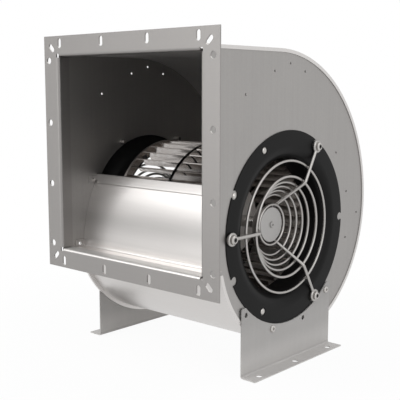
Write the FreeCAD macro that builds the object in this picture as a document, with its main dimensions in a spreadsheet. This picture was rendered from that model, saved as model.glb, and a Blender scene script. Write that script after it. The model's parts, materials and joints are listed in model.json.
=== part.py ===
import FreeCAD, Part
import math
import os

import Sketcher

# Double-inlet blower fan with its motor inside the wheel.
# X runs along the wheel's axis, the outlet faces -Y and +Z is up.
# The origin is on the floor, in the middle of the bolt holes of the two feet, under the axis.
# Every piece is drawn round the wheel's axis and then raised by axis_height.

Vector = FreeCAD.Vector
Rotation = FreeCAD.Rotation
Placement = FreeCAD.Placement

# Driving sizes in millimetres and degrees, each written once
SIZES = [
    ("axis_height", 195),
    ("casing_width", 284),
    ("plate_gauge", 1.5),
    ("wrap_gauge", 1),
    ("seam_gap", 0.2),
    ("ridge_height", 5.5),
    ("hem_depth", 4.9),
    ("back_radius", 228.3),
    ("rear_radius", 192.8),
    ("belly_radius", 164),
    ("belly_across", 11.4),
    ("belly_drop", 7.8),
    ("outlet_front", 182),
    ("opening_bottom", 41.5),
    ("flange_side", 340),
    ("flange_centre", 100),
    ("flange_gauge", 2),
    ("collar_depth", 20),
    ("collar_bend", 4),
    ("corner_relief", 1.5),
    ("slot_pitch", 90),
    ("slot_row", 159.5),
    ("slot_width", 7),
    ("slot_length", 14),
    ("side_hole", 9.5),
    ("corner_slot_place", 153),
    ("cutoff_gauge", 1.5),
    ("crease_front", 139),
    ("wall_radius", 203),
    ("lip_rise", 106.5),
    ("lip_hem", 11),
    ("lip_gap", 0.6),
    ("tab_width", 16),
    ("tab_height", 12),
    ("locating_hole", 5),
    ("seam_strip", 14),
    ("rivet_shank", 4),
    ("rivet_head", 8),
    ("rivet_head_height", 1.6),
    ("ring_outer", 275),
    ("ring_gauge", 1.2),
    ("ring_wall", 238),
    ("ring_wall_foot", 225),
    ("ring_depth", 40),
    ("ring_bend", 0.8),
    ("shoulder_bend", 5),
    ("throat_bore", 193),
    ("wheel_clearance", 1),
    ("notch_radius", 6.2),
    ("notch_place", 133.5),
    ("screw_notch_radius", 9),
    ("screw_notch_place", 129.5),
    ("window_place", 125.5),
    ("window", 10.5),
    ("spoke_screw_place", 128.4),
    ("spoke_rod", 5),
    ("eye_radius", 7),
    ("basket_rim", 70),
    ("spoke_slope", 44),
    ("spoke_bend", 8),
    ("wire", 3.8),
    ("outer_wire_ring", 94.3),
    ("second_wire_ring", 72),
    ("third_wire_ring", 63.3),
    ("wire_ring_step", 6.4),
    ("inner_wire_ring", 29.5),
    ("centre_plate", 51),
    ("centre_plate_depth", 32.7),
    ("centre_plate_gauge", 3),
    ("centre_plate_rim", 11),
    ("screw_shank", 6),
    ("small_screw", 5),
    ("shield_screw", 3.2),
    ("screw_head", 11.5),
    ("screw_head_height", 3.6),
    ("foot_screw_head", 10),
    ("foot_screw_head_height", 2.4),
    ("nut_barrel", 7.8),
    ("nut_collar", 12),
    ("nut_length", 12),
    ("foot_half_length", 106.3),
    ("foot_top", 98),
    ("foot_gauge", 1.5),
    ("foot_flange", 25.2),
    ("foot_bend", 3.5),
    ("foot_cutout", 138),
    ("foot_corner", 4),
    ("foot_plain_hole", 7),
    ("foot_screw_place", 145),
    ("foot_hole_spacing", 84),
    ("foot_hole_line", 158),
    ("foot_hole", 9),
    ("wheel_width", 192),
    ("blade_count", 41),
    ("blade_gauge", 1),
    ("blade_inner", 92),
    ("blade_curve", 23.5),
    ("blade_turn", 60),
    ("disc_gauge", 2.5),
    ("disc_radius", 114),
    ("end_ring_gauge", 1.5),
    ("end_ring_inner", 100.5),
    ("end_ring_rim", 4),
    ("rotor_radius", 53.5),
    ("rotor_wall", 7),
    ("rotor_half_length", 44),
    ("rotor_flange", 64),
    ("rotor_flange_gauge", 4),
    ("rotor_end_gauge", 4),
    ("hub_radius", 21.5),
    ("hub_lip", 5.5),
    ("shield_bead", 1.2),
    ("rotor_core_half_length", 27),
    ("rotor_core_bore", 81.6),
    ("stator_radius", 40),
    ("stator_half_length", 25),
    ("stator_slots", 18),
    ("slot_bottom", 24),
    ("slot_opening", 5),
    ("slot_neck", 2.5),
    ("winding_overhang", 11),
    ("axle_radius", 10),
    ("axle_shoulder", 30),
    ("axle_end_radius", 8.5),
    ("axle_bore", 9),
    ("axle_stub", 12),
    ("axle_tap_depth", 16),
    ("axle_nut_flats", 24),
    ("axle_nut_height", 7),
    ("bearing_outer", 35),
    ("bearing_width", 10),
    ("ball", 4.76),
    ("ball_count", 8),
    ("race_gap", 0.12),
    ("race_height", 2.7),
    ("cage_width", 7.2),
    ("cage_gauge", 1.8),
    ("circlip_gauge", 1.2),
    ("circlip_height", 2.6),
    ("circlip_mouth", 4),
    ("clip_reach", 6),
    ("clip_width", 7),
    ("running_gap", 0.3),
]


class Size:
    """A size that carries its number and the formula in cells that it comes from."""

    def __init__(self, number, formula):
        self.number = number
        self.formula = formula

    def __add__(self, other):
        other = as_size(other)
        return Size(self.number + other.number, f"({self.formula} + {other.formula})")

    def __sub__(self, other):
        other = as_size(other)
        return Size(self.number - other.number, f"({self.formula} - {other.formula})")

    def __mul__(self, other):
        other = as_size(other)
        return Size(self.number * other.number, f"({self.formula} * {other.formula})")

    def __truediv__(self, other):
        other = as_size(other)
        return Size(self.number / other.number, f"({self.formula} / {other.formula})")

    def __radd__(self, other):
        return as_size(other) + self

    def __rsub__(self, other):
        return as_size(other) - self

    def __rmul__(self, other):
        return as_size(other) * self

    def __neg__(self):
        return as_size(0) - self


def as_size(value):
    return value if isinstance(value, Size) else Size(float(value), repr(float(value)))


def root(value):
    return Size(math.sqrt(value.number), f"sqrt({value.formula})")


def sine(angle):
    angle = as_size(angle)
    return Size(math.sin(math.radians(angle.number)), f"sin({angle.formula})")


def cosine(angle):
    angle = as_size(angle)
    return Size(math.cos(math.radians(angle.number)), f"cos({angle.formula})")


doc = FreeCAD.newDocument("blower_fan")
sheet = doc.addObject("Spreadsheet::Sheet", "Sizes")


class Cells:
    """The driving sizes by name, each bound to its own cell."""


cells = Cells()
for row, (alias, value) in enumerate(SIZES, start=1):
    sheet.set(f"A{row}", alias.replace("_", " "))
    sheet.set(f"B{row}", str(value))
    sheet.setAlias(f"B{row}", alias)
    setattr(cells, alias, Size(float(value), f"Sizes.{alias}"))
doc.recompute()

# Planes and levels that several pieces share
plate_face = cells.casing_width / 2
plate_inside = plate_face - cells.plate_gauge
sheet_inside = plate_inside - cells.seam_gap
leg_inside = plate_face + cells.seam_gap
rim_face = leg_inside + cells.wrap_gauge
flange_back = -(cells.outlet_front - cells.flange_gauge)
sheet_front = cells.collar_bend - cells.outlet_front
opening_half = plate_inside - cells.flange_gauge
floor_top = -(cells.opening_bottom + cells.flange_gauge)
floor_underside = floor_top - cells.cutoff_gauge
wheel_end = cells.wheel_width / 2

# Centres of the three arcs that make the scroll, each tangent to the next
arc_three = (cells.belly_across, -cells.belly_drop)
arc_two = (arc_three[0], arc_three[1] + cells.rear_radius - cells.belly_radius)
arc_one = (arc_two[0] - (cells.back_radius - cells.rear_radius), arc_two[1])
scroll_top = arc_one[1] + cells.back_radius
opening_top = scroll_top - cells.ridge_height - cells.wrap_gauge - cells.flange_gauge

# Sub-parts in the order they are made, each written to a file of its own
nodes = []


def raise_to_axis(item):
    item.Placement.Base = Vector(0, 0, cells.axis_height.number)
    item.setExpression("Placement.Base.z", cells.axis_height.formula)


def keep(item, label):
    """Name a finished sub-part, raise it to the axis and list it for export."""
    item.Label = label
    raise_to_axis(item)
    nodes.append(item)
    return item


def mirror_across(item, label):
    """The same piece for the other side of the fan."""
    twin = doc.addObject("Part::Mirroring", label)
    twin.Source = item
    twin.Base = Vector(0, 0, 0)
    twin.Normal = Vector(1, 0, 0)
    twin.Label = label
    nodes.append(twin)
    return twin


def new_body(name):
    return doc.addObject("PartDesign::Body", name)


def origin_feature(body, role):
    return next(item for item in body.Origin.OriginFeatures if item.Role == role)


def new_sketch(body, role, offset=0):
    """A sketch on one of the body's own planes, moved along the plane's normal."""
    sketch = body.newObject("Sketcher::SketchObject", "Sketch")
    sketch.AttachmentSupport = [(origin_feature(body, role), "")]
    sketch.MapMode = "FlatFace"
    offset = as_size(offset)
    sketch.AttachmentOffset = Placement(Vector(0, 0, offset.number), Rotation())
    sketch.setExpression("AttachmentOffset.Base.z", offset.formula)
    return sketch


def hold_point(sketch, geometry, position, across, up):
    """Tie one point of a sketch to its two sizes."""
    for kind, value in (("DistanceX", as_size(across)), ("DistanceY", as_size(up))):
        index = sketch.addConstraint(Sketcher.Constraint(kind, -1, 1, geometry, position, value.number))
        sketch.setExpression(f"Constraints[{index}]", value.formula)


def hold_radius(sketch, geometry, radius):
    index = sketch.addConstraint(Sketcher.Constraint("Radius", geometry, radius.number))
    sketch.setExpression(f"Constraints[{index}]", radius.formula)


def draw_circle(sketch, across, up, radius):
    across, up, radius = as_size(across), as_size(up), as_size(radius)
    circle = Part.Circle(Vector(across.number, up.number, 0), Vector(0, 0, 1), radius.number)
    geometry = sketch.addGeometry(circle, False)
    hold_point(sketch, geometry, 3, across, up)
    hold_radius(sketch, geometry, radius)
    return geometry


def arc_between(start, end, radius, turn):
    """The shorter arc from start to end; turn is 1 for counter-clockwise and -1 for clockwise."""
    chord = end - start
    middle = (start + end) * 0.5
    height = math.sqrt(max(radius ** 2 - (chord.Length / 2) ** 2, 0))
    left = Vector(-chord.y, chord.x, 0).normalize()
    centre = middle + left * (height * turn)
    first, last = (start, end) if turn > 0 else (end, start)
    first_angle = math.atan2(first.y - centre.y, first.x - centre.x)
    last_angle = math.atan2(last.y - centre.y, last.x - centre.x)
    if last_angle < first_angle:
        last_angle += 2 * math.pi
    circle = Part.Circle(centre, Vector(0, 0, 1), radius)
    return Part.ArcOfCircle(circle, first_angle, last_angle)


def draw_outline(sketch, corners, closed=True):
    """Draw corners (across, up) or (across, up, radius, turn), where the arc runs on to the next corner."""
    count = len(corners)
    points = [Vector(as_size(corner[0]).number, as_size(corner[1]).number, 0) for corner in corners]
    sides = []
    for index in range(count if closed else count - 1):
        start, end = points[index], points[(index + 1) % count]
        if len(corners[index]) == 2:
            geometry = sketch.addGeometry(Part.LineSegment(start, end), False)
            sides.append((geometry, 1, 2))
        else:
            radius, turn = as_size(corners[index][2]), corners[index][3]
            geometry = sketch.addGeometry(arc_between(start, end, radius.number, turn), False)
            hold_radius(sketch, geometry, radius)
            sides.append((geometry, 1, 2) if turn > 0 else (geometry, 2, 1))
    for index, (geometry, first, last) in enumerate(sides):
        hold_point(sketch, geometry, first, corners[index][0], corners[index][1])
        if closed or index:
            before, _, before_last = sides[index - 1]
            sketch.addConstraint(Sketcher.Constraint("Coincident", before, before_last, geometry, first))
    if not closed:
        geometry, _, last = sides[-1]
        hold_point(sketch, geometry, last, corners[-1][0], corners[-1][1])


def draw_box(sketch, left, right, bottom, top):
    draw_outline(sketch, [(left, bottom), (right, bottom), (right, top), (left, top)])


def draw_slot(sketch, across, up, length, width, angle=90):
    """A rounded slot of the given overall length, turned by angle from the sketch's first axis."""
    across, up, length, width = as_size(across), as_size(up), as_size(length), as_size(width)
    reach = (length - width) / 2
    step_across, step_up = reach * cosine(angle), reach * sine(angle)
    side_across, side_up = width / 2 * cosine(angle + 90), width / 2 * sine(angle + 90)
    ends = []
    for sign in (1, -1):
        centre = (across + step_across * sign, up + step_up * sign)
        heading = math.radians(angle) + (0 if sign > 0 else math.pi)
        circle = Part.Circle(Vector(centre[0].number, centre[1].number, 0), Vector(0, 0, 1), width.number / 2)
        arc = Part.ArcOfCircle(circle, heading - math.pi / 2, heading + math.pi / 2)
        ends.append((sketch.addGeometry(arc, False), centre))
    for (near, _), (far, _), sign in ((ends[0], ends[1], 1), (ends[1], ends[0], -1)):
        start = Vector((across + step_across * sign + side_across * sign).number,
                       (up + step_up * sign + side_up * sign).number, 0)
        finish = Vector((across - step_across * sign + side_across * sign).number,
                        (up - step_up * sign + side_up * sign).number, 0)
        line = sketch.addGeometry(Part.LineSegment(start, finish), False)
        sketch.addConstraint(Sketcher.Constraint("Tangent", near, 2, line, 1))
        sketch.addConstraint(Sketcher.Constraint("Tangent", line, 2, far, 1))
    for geometry, centre in ends:
        hold_point(sketch, geometry, 3, centre[0], centre[1])
    hold_radius(sketch, ends[0][0], width / 2)


def pad(body, sketch, length, backwards=False, middle=False):
    feature = body.newObject("PartDesign::Pad", "Pad")
    feature.Profile = sketch
    feature.Reversed = backwards
    feature.Midplane = middle
    length = as_size(length)
    feature.Length = length.number
    feature.setExpression("Length", length.formula)
    doc.recompute()
    return feature


def pocket_through(body, sketch):
    """Cut the sketch right through the body both ways, and make sure that it cut something."""
    before = body.Shape.Volume
    feature = body.newObject("PartDesign::Pocket", "Pocket")
    feature.Profile = sketch
    feature.Type = "ThroughAll"
    feature.Midplane = True
    doc.recompute()
    if not body.Shape.Volume < before:
        raise RuntimeError(f"a pocket of {body.Name} cuts nothing")
    return feature


def revolve(body, sketch, axis="H_Axis"):
    """Turn a sketch right round one of its own axes."""
    feature = body.newObject("PartDesign::Revolution", "Revolution")
    feature.Profile = sketch
    feature.ReferenceAxis = (sketch, [axis])
    feature.Angle = 360
    doc.recompute()
    return feature


def repeat_round_axis(body, feature, count):
    """Copies of a feature, evenly spaced round the wheel's axis."""
    pattern = body.newObject("PartDesign::PolarPattern", "PolarPattern")
    pattern.Originals = [feature]
    pattern.Axis = (origin_feature(body, "X_Axis"), [""])
    pattern.Angle = 360
    pattern.Occurrences = int(count.number)
    pattern.setExpression("Occurrences", count.formula)
    body.Tip = pattern
    doc.recompute()
    return pattern


def fillet(body, edges, radius):
    """Round the edges of the body's tip that the test picks out."""
    tip = body.Tip
    names = [f"Edge{index}" for index, edge in enumerate(tip.Shape.Edges, start=1) if edges(edge)]
    if not names:
        raise RuntimeError(f"no edge to round on {body.Name}")
    feature = body.newObject("PartDesign::Fillet", "Fillet")
    feature.Base = (tip, names)
    feature.Radius = radius.number
    feature.setExpression("Radius", radius.formula)
    doc.recompute()
    return feature


def is_circle(x, radius):
    """Test for a full circle round the axis at one x and one radius."""
    x, radius = as_size(x), as_size(radius)

    def test(edge):
        curve = edge.Curve
        if not isinstance(curve, Part.Circle) or abs(curve.Radius - radius.number) > 0.01:
            return False
        return abs(curve.Center.x - x.number) < 0.01 and math.hypot(curve.Center.y, curve.Center.z) < 0.01
    return test


def is_long_line(near, direction, length):
    """Test for a straight edge through a place, along a direction and at least this long."""
    def test(edge):
        if not isinstance(edge.Curve, Part.Line) or edge.Length < length:
            return False
        along = (edge.Vertexes[-1].Point - edge.Vertexes[0].Point).normalize()
        if along.cross(direction).Length > 0.001:
            return False
        return edge.Vertexes[0].Point.distanceToLine(near, direction) < 0.05
    return test


def turned(name, stations):
    """A body of revolution round the wheel's axis from (x, radius) corners."""
    body = new_body(name)
    sketch = new_sketch(body, "XZ_Plane")
    draw_outline(sketch, stations)
    revolve(body, sketch)
    return body


def tube(name, start, end, bore, radius):
    """A plain turned ring or sleeve between two planes."""
    return turned(name, [(start, bore), (end, bore), (end, radius), (start, radius)])


def on_circle(radius, angle):
    """The point (y, z) at a radius and an angle from +Y towards +Z."""
    return as_size(radius) * cosine(angle), as_size(radius) * sine(angle)


def group(label, source, places):
    """One node of equal loose pieces; places are (x, y, z, flipped to face -X)."""
    copies = []
    for x, y, z, flipped in places:
        copy = doc.addObject("App::Link", f"{label}_copy")
        copy.LinkedObject = source
        turn = Rotation(Vector(0, 0, 1), 180 if flipped else 0)
        x, y, z = as_size(x), as_size(y), as_size(z)
        copy.Placement = Placement(Vector(x.number, y.number, z.number), turn)
        for direction, value in (("x", x), ("y", y), ("z", z)):
            copy.setExpression(f"Placement.Base.{direction}", value.formula)
        copies.append(copy)
    compound = doc.addObject("Part::Compound", label)
    compound.Links = copies
    doc.recompute()
    return keep(compound, label)


# Scroll outline, shared by the side plates and the wrap
def scroll_path(inset, front, low_end):
    """From the outlet's top over the back and under the belly, inset from the seam's edge."""
    inset = as_size(inset)
    back, rear, belly = (radius - inset for radius in (cells.back_radius, cells.rear_radius, cells.belly_radius))
    drop = low_end - arc_three[1]
    end_across = arc_three[0] - root(belly * belly - drop * drop)
    return [
        (front, scroll_top - inset),
        (arc_one[0], scroll_top - inset, back, -1),
        (arc_one[0] + back, arc_one[1], rear, -1),
        (arc_three[0], arc_two[1] - rear, belly, -1),
        (end_across, low_end),
    ]


def backwards(path):
    """The same path walked from its other end."""
    turned_round = []
    for index in range(len(path) - 1, -1, -1):
        point = path[index][:2]
        if index and len(path[index - 1]) == 4:
            radius, turn = path[index - 1][2:]
            turned_round.append((*point, radius, -turn))
        else:
            turned_round.append(point)
    return turned_round


def strip_between(outer_inset, inner_inset, front, low_end):
    return scroll_path(outer_inset, front, low_end) + backwards(scroll_path(inner_inset, front, low_end))


# Small holes in each side plate as (y, z) from the axis, and places round the axis in degrees
PLATE_HOLES = [(-97.6, 187.1), (-35, 218.5), (0.7, 229.5), (36.2, 218.8),
               (121.1, 98.9), (152.4, 37.1), (183.7, 0.6), (152.8, -35.6)]
PLATE_HOLE_RADIUS = 1.7
NOTCH_ANGLES = (0, 154.5, -154.5)
SCREW_NOTCH_ANGLES = (60, -60)
WINDOW_ANGLES = (117, -117)
SPOKE_ANGLES = (60, 180, -60)
FOOT_SCREW_ANGLES = (-105, -48.5)
FOOT_HOLE_ANGLES = (-131.7, -75)
CUTOFF_RIVET = (-119.8, 56.5)
LOCATING_HOLE = (-148, -38.7)
SHIELD_BEADS = (44, 36, 28)


def make_side_plate():
    body = new_body("side_plate_body")
    edge_inset = cells.wrap_gauge + cells.seam_gap
    face = new_sketch(body, "YZ_Plane", plate_inside)
    edge = scroll_path(edge_inset, sheet_front, floor_underside)
    draw_outline(face, edge + [(sheet_front, floor_underside)])
    pad(body, face, cells.plate_gauge)
    holes = new_sketch(body, "YZ_Plane", plate_face)
    draw_circle(holes, 0, 0, cells.ring_wall / 2 + cells.ring_bend)
    for across, up in PLATE_HOLES:
        draw_circle(holes, across, up, PLATE_HOLE_RADIUS)
    for angle in SPOKE_ANGLES:
        draw_circle(holes, *on_circle(cells.spoke_screw_place, angle), cells.nut_barrel / 2 + cells.seam_gap / 2)
    for angle in FOOT_SCREW_ANGLES:
        draw_circle(holes, *on_circle(cells.foot_screw_place, angle), cells.nut_barrel / 2 + cells.seam_gap / 2)
    draw_circle(holes, *CUTOFF_RIVET, cells.rivet_shank / 2)
    draw_circle(holes, *LOCATING_HOLE, cells.locating_hole / 2)
    pocket_through(body, holes)
    return keep(body, "side_plate_right")


def make_scroll_wrap():
    """The strip round the scroll: each long edge is bent outwards and locked over a side plate's edge."""
    body = new_body("scroll_wrap_body")
    ridge, gauge = cells.ridge_height, cells.wrap_gauge
    strip = new_sketch(body, "YZ_Plane")
    draw_outline(strip, strip_between(ridge, ridge + gauge, sheet_front, floor_underside))
    pad(body, strip, sheet_inside * 2, middle=True)
    upright = new_sketch(body, "YZ_Plane", sheet_inside - gauge)
    draw_outline(upright, strip_between(0, ridge + gauge, sheet_front, floor_underside))
    upright_pad = pad(body, upright, gauge)
    cap = new_sketch(body, "YZ_Plane", sheet_inside - gauge)
    draw_outline(cap, strip_between(0, gauge, sheet_front, floor_underside))
    cap_pad = pad(body, cap, rim_face - sheet_inside + gauge)
    leg = new_sketch(body, "YZ_Plane", leg_inside)
    draw_outline(leg, strip_between(0, cells.hem_depth, sheet_front, floor_underside))
    leg_pad = pad(body, leg, gauge)
    mirrored = body.newObject("PartDesign::Mirrored", "Mirrored")
    mirrored.Originals = [upright_pad, cap_pad, leg_pad]
    mirrored.MirrorPlane = (origin_feature(body, "YZ_Plane"), [""])
    body.Tip = mirrored
    doc.recompute()
    belly = cells.belly_radius - ridge
    drop = floor_underside - arc_three[1]
    seam = arc_three[0] - root(belly * belly - drop * drop)
    lower = new_sketch(body, "XY_Plane", floor_underside)
    draw_box(lower, -sheet_inside, sheet_inside, seam - cells.seam_strip, seam + gauge / 2)
    pad(body, lower, gauge, backwards=True)
    return keep(body, "scroll_wrap")


def make_cutoff_plate():
    """Floor strip, curved wall and hemmed lip, with tabs bent forward against the side plates."""
    body = new_body("cutoff_plate_body")
    gauge = cells.cutoff_gauge
    inside = sheet_inside
    centre = cells.wall_radius - cells.crease_front
    lip_across = centre - root(cells.wall_radius * cells.wall_radius - cells.lip_rise * cells.lip_rise)
    inner_radius = cells.wall_radius - gauge
    shrink = inner_radius / cells.wall_radius
    inner_lip = (centre - (centre - lip_across) * shrink, floor_top + cells.lip_rise * shrink)
    floor_end = sheet_front
    wall = new_sketch(body, "YZ_Plane")
    draw_outline(wall, [
        (floor_end, floor_underside),
        (centre - inner_radius, floor_underside),
        (centre - inner_radius, floor_top, inner_radius, -1),
        inner_lip,
        (lip_across, floor_top + cells.lip_rise, cells.wall_radius, 1),
        (-cells.crease_front, floor_top),
        (floor_end, floor_top),
    ])
    pad(body, wall, inside * 2, middle=True)
    fillet(body, is_long_line(Vector(0, -cells.crease_front.number, floor_top.number), Vector(1, 0, 0), 100),
           gauge * 2)
    fillet(body, is_long_line(Vector(0, (centre - inner_radius).number, floor_underside.number),
                              Vector(1, 0, 0), 100), gauge * 3)
    fold_inner = cells.wall_radius + cells.lip_gap
    fold_outer = fold_inner + gauge
    fold_rise = cells.lip_rise - cells.lip_hem
    stretch = cells.lip_rise / cells.wall_radius
    hem = new_sketch(body, "YZ_Plane")
    draw_outline(hem, [
        (centre - (centre - lip_across) * (fold_outer / cells.wall_radius), floor_top + stretch * fold_outer,
         fold_outer, 1),
        (centre - root(fold_outer * fold_outer - fold_rise * fold_rise), floor_top + fold_rise),
        (centre - root(fold_inner * fold_inner - fold_rise * fold_rise), floor_top + fold_rise,
         fold_inner, -1),
        (centre - (centre - lip_across) * (fold_inner / cells.wall_radius), floor_top + stretch * fold_inner),
    ])
    pad(body, hem, inside * 2, middle=True)
    fold = new_sketch(body, "YZ_Plane")
    fold_radius = gauge + cells.lip_gap / 2
    middle_reach = (cells.wall_radius + cells.lip_gap / 2) / cells.wall_radius
    draw_circle(fold, centre - (centre - lip_across) * middle_reach,
                floor_top + stretch * (cells.wall_radius + cells.lip_gap / 2), fold_radius)
    pad(body, fold, inside * 2, middle=True)
    for side in (1, -1):
        offset = inside - gauge if side > 0 else -inside
        tabs = new_sketch(body, "YZ_Plane", offset)
        for across, up in (CUTOFF_RIVET, LOCATING_HOLE):
            rise = up - floor_top
            wall_across = centre - root(inner_radius * inner_radius - rise * rise)
            bottom = up - cells.tab_height / 2 if up > 0 else floor_underside
            top = bottom + cells.tab_height
            front = as_size(across) - cells.tab_width / 2
            draw_box(tabs, front, wall_across - gauge / 4, bottom, top)
        pad(body, tabs, gauge)
    rivet_holes = new_sketch(body, "YZ_Plane")
    draw_circle(rivet_holes, *CUTOFF_RIVET, cells.rivet_shank / 2)
    draw_circle(rivet_holes, *LOCATING_HOLE, cells.locating_hole / 2)
    pocket_through(body, rivet_holes)
    return keep(body, "cutoff_plate")


def make_outlet_flange():
    """Square frame with a collar bent back round the opening and nicked at its corners."""
    body = new_body("outlet_flange_body")
    half, gauge, bend = cells.flange_side / 2, cells.flange_gauge, cells.collar_bend
    left, right = -opening_half, opening_half
    bottom, top = -cells.opening_bottom, opening_top
    face, back, collar_end = -cells.outlet_front, flange_back, cells.collar_depth - cells.outlet_front
    front = new_sketch(body, "XZ_Plane", cells.outlet_front)
    draw_box(front, -half, half, cells.flange_centre - half, cells.flange_centre + half)
    draw_box(front, left - bend, right + bend, bottom - bend, top + bend)
    pad(body, front, gauge, backwards=True)
    for edge, sign in ((left, -1), (right, 1)):
        side = new_sketch(body, "XY_Plane", bottom + cells.corner_relief)
        draw_outline(side, [
            (edge + bend * sign, face, bend, -sign), (edge, face + bend), (edge, collar_end),
            (edge + gauge * sign, collar_end), (edge + gauge * sign, face + bend, bend - gauge, sign),
            (edge + bend * sign, back),
        ])
        pad(body, side, top - bottom - cells.corner_relief * 2)
    for edge, sign in ((bottom, -1), (top, 1)):
        side = new_sketch(body, "YZ_Plane", left + cells.corner_relief)
        draw_outline(side, [
            (face, edge + bend * sign, bend, sign), (face + bend, edge), (collar_end, edge),
            (collar_end, edge + gauge * sign), (face + bend, edge + gauge * sign, bend - gauge, -sign),
            (back, edge + bend * sign),
        ])
        pad(body, side, right - left - cells.corner_relief * 2)
    slots = new_sketch(body, "XZ_Plane", cells.outlet_front)
    for step in (-1.5, -0.5, 0.5, 1.5):
        for side in (1, -1):
            draw_slot(slots, cells.slot_pitch * step, cells.flange_centre + cells.slot_row * side,
                      cells.slot_length, cells.slot_width)
            draw_circle(slots, cells.slot_row * side, cells.flange_centre + cells.slot_pitch * step,
                        cells.side_hole / 2)
    for across in (1, -1):
        for up in (1, -1):
            draw_slot(slots, cells.corner_slot_place * across,
                      cells.flange_centre + cells.corner_slot_place * up,
                      cells.slot_length, cells.slot_width, 45 if across == up else 135)
    pocket_through(body, slots)
    return keep(body, "outlet_flange")


def make_inlet_ring():
    """Drawn ring: flat flange on the side plate, tapered wall, shoulder and throat."""
    gauge = cells.ring_gauge
    outside, inside = plate_face + gauge, plate_face
    wall_top, wall_foot = cells.ring_wall / 2, cells.ring_wall_foot / 2
    shoulder = plate_face - cells.ring_depth
    throat = cells.throat_bore / 2
    throat_end = wheel_end + cells.wheel_clearance
    body = turned("inlet_ring_body", [
        (outside, cells.ring_outer / 2),
        (inside, cells.ring_outer / 2),
        (inside, wall_top),
        (shoulder - gauge, wall_foot),
        (shoulder - gauge, throat + gauge),
        (throat_end, throat + gauge),
        (throat_end, throat),
        (shoulder, throat),
        (shoulder, wall_foot - gauge),
        (outside, wall_top - gauge),
    ])
    fillet(body, is_circle(outside, wall_top - gauge), cells.ring_bend + gauge)
    fillet(body, is_circle(inside, wall_top), cells.ring_bend)
    bend = cells.shoulder_bend
    fillet(body, is_circle(shoulder, wall_foot - gauge), bend)
    fillet(body, is_circle(shoulder - gauge, wall_foot), bend + gauge)
    fillet(body, is_circle(shoulder, throat), bend / 2 + gauge)
    fillet(body, is_circle(shoulder - gauge, throat + gauge), bend / 2)
    cuts = new_sketch(body, "YZ_Plane", outside)
    for angle in NOTCH_ANGLES:
        draw_circle(cuts, *on_circle(cells.notch_place, angle), cells.notch_radius)
    for angle in SCREW_NOTCH_ANGLES:
        draw_circle(cuts, *on_circle(cells.screw_notch_place, angle), cells.screw_notch_radius)
    draw_circle(cuts, -cells.spoke_screw_place, 0, cells.nut_collar / 2 + cells.seam_gap)
    for angle in WINDOW_ANGLES:
        draw_circle(cuts, *on_circle(cells.window_place, angle), cells.window / 2)
    pocket_through(body, cuts)
    return keep(body, "inlet_ring_right")


# Motor support baskets
spoke_plane = plate_face + cells.ring_gauge + cells.spoke_rod / 2
wire_lift = (cells.spoke_rod + cells.wire) / 2
slope_out = sine(cells.spoke_slope)
slope_in = cosine(cells.spoke_slope)


def spoke_x(radius):
    """Where the middle of a sloping spoke is along the axis, at a radius."""
    return spoke_plane - (cells.basket_rim - radius) * slope_out / slope_in


def make_spoke(angle, label):
    """Rod with an eye at its outer end, bent down the basket's side to the centre plate's rim."""
    body = new_body("spoke_body")
    rod = cells.spoke_rod / 2
    start = -(cells.spoke_screw_place - cells.eye_radius)
    tangent = cells.spoke_bend * sine(cells.spoke_slope / 2) / cosine(cells.spoke_slope / 2)
    end = cells.centre_plate / 2 + rod * slope_out
    path = new_sketch(body, "XY_Plane")
    draw_outline(path, [
        (spoke_plane, start),
        (spoke_plane, -cells.basket_rim - tangent, cells.spoke_bend, 1),
        (spoke_plane - tangent * slope_out, -cells.basket_rim + tangent * slope_in),
        (spoke_x(end), -end),
    ], closed=False)
    section = new_sketch(body, "XZ_Plane", -start)
    draw_circle(section, spoke_plane, 0, rod)
    doc.recompute()
    pipe = body.newObject("PartDesign::AdditivePipe", "AdditivePipe")
    pipe.Profile = section
    pipe.Spine = path
    doc.recompute()
    eye = new_sketch(body, "XY_Plane")
    eye_centre = -cells.spoke_screw_place
    draw_circle(eye, spoke_plane, eye_centre + cells.eye_radius, rod)
    axis = eye.addGeometry(Part.LineSegment(Vector(spoke_plane.number - 10, eye_centre.number, 0),
                                            Vector(spoke_plane.number + 10, eye_centre.number, 0)), True)
    hold_point(eye, axis, 1, spoke_plane - 10, eye_centre)
    hold_point(eye, axis, 2, spoke_plane + 10, eye_centre)
    turn = body.newObject("PartDesign::Revolution", "Revolution")
    turn.Profile = eye
    turn.ReferenceAxis = (eye, ["Axis0"])
    turn.Angle = 360
    doc.recompute()
    keep(body, label)
    body.Placement.Rotation = Rotation(Vector(1, 0, 0), angle - 180)
    return body


def make_wire_rings():
    """Seven rings of wire: two behind the flat spokes, four behind their slopes, one in front."""
    flat = spoke_plane - wire_lift
    rings = [(cells.outer_wire_ring, flat), (cells.second_wire_ring, flat)]
    for step in range(4):
        radius = cells.third_wire_ring - cells.wire_ring_step * step
        rings.append((radius, spoke_x(radius - wire_lift * slope_out) - wire_lift * slope_in))
    inner = cells.inner_wire_ring
    rings.append((inner, spoke_x(inner + wire_lift * slope_out) + wire_lift * slope_in))
    wires = []
    for radius, x in rings:
        wire = doc.addObject("Part::Torus", "wire_ring")
        wire.setExpression("Radius1", radius.formula)
        wire.setExpression("Radius2", (cells.wire / 2).formula)
        wire.Placement = Placement(Vector(x.number, 0, 0), Rotation(Vector(0, 1, 0), 90))
        wire.setExpression("Placement.Base.x", x.formula)
        wires.append(wire)
    compound = doc.addObject("Part::Compound", "wire_rings")
    compound.Links = wires
    doc.recompute()
    return keep(compound, "guard_rings_right")


centre_plate_face = spoke_plane - cells.centre_plate_depth
centre_plate_back = centre_plate_face - cells.centre_plate_gauge


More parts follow.
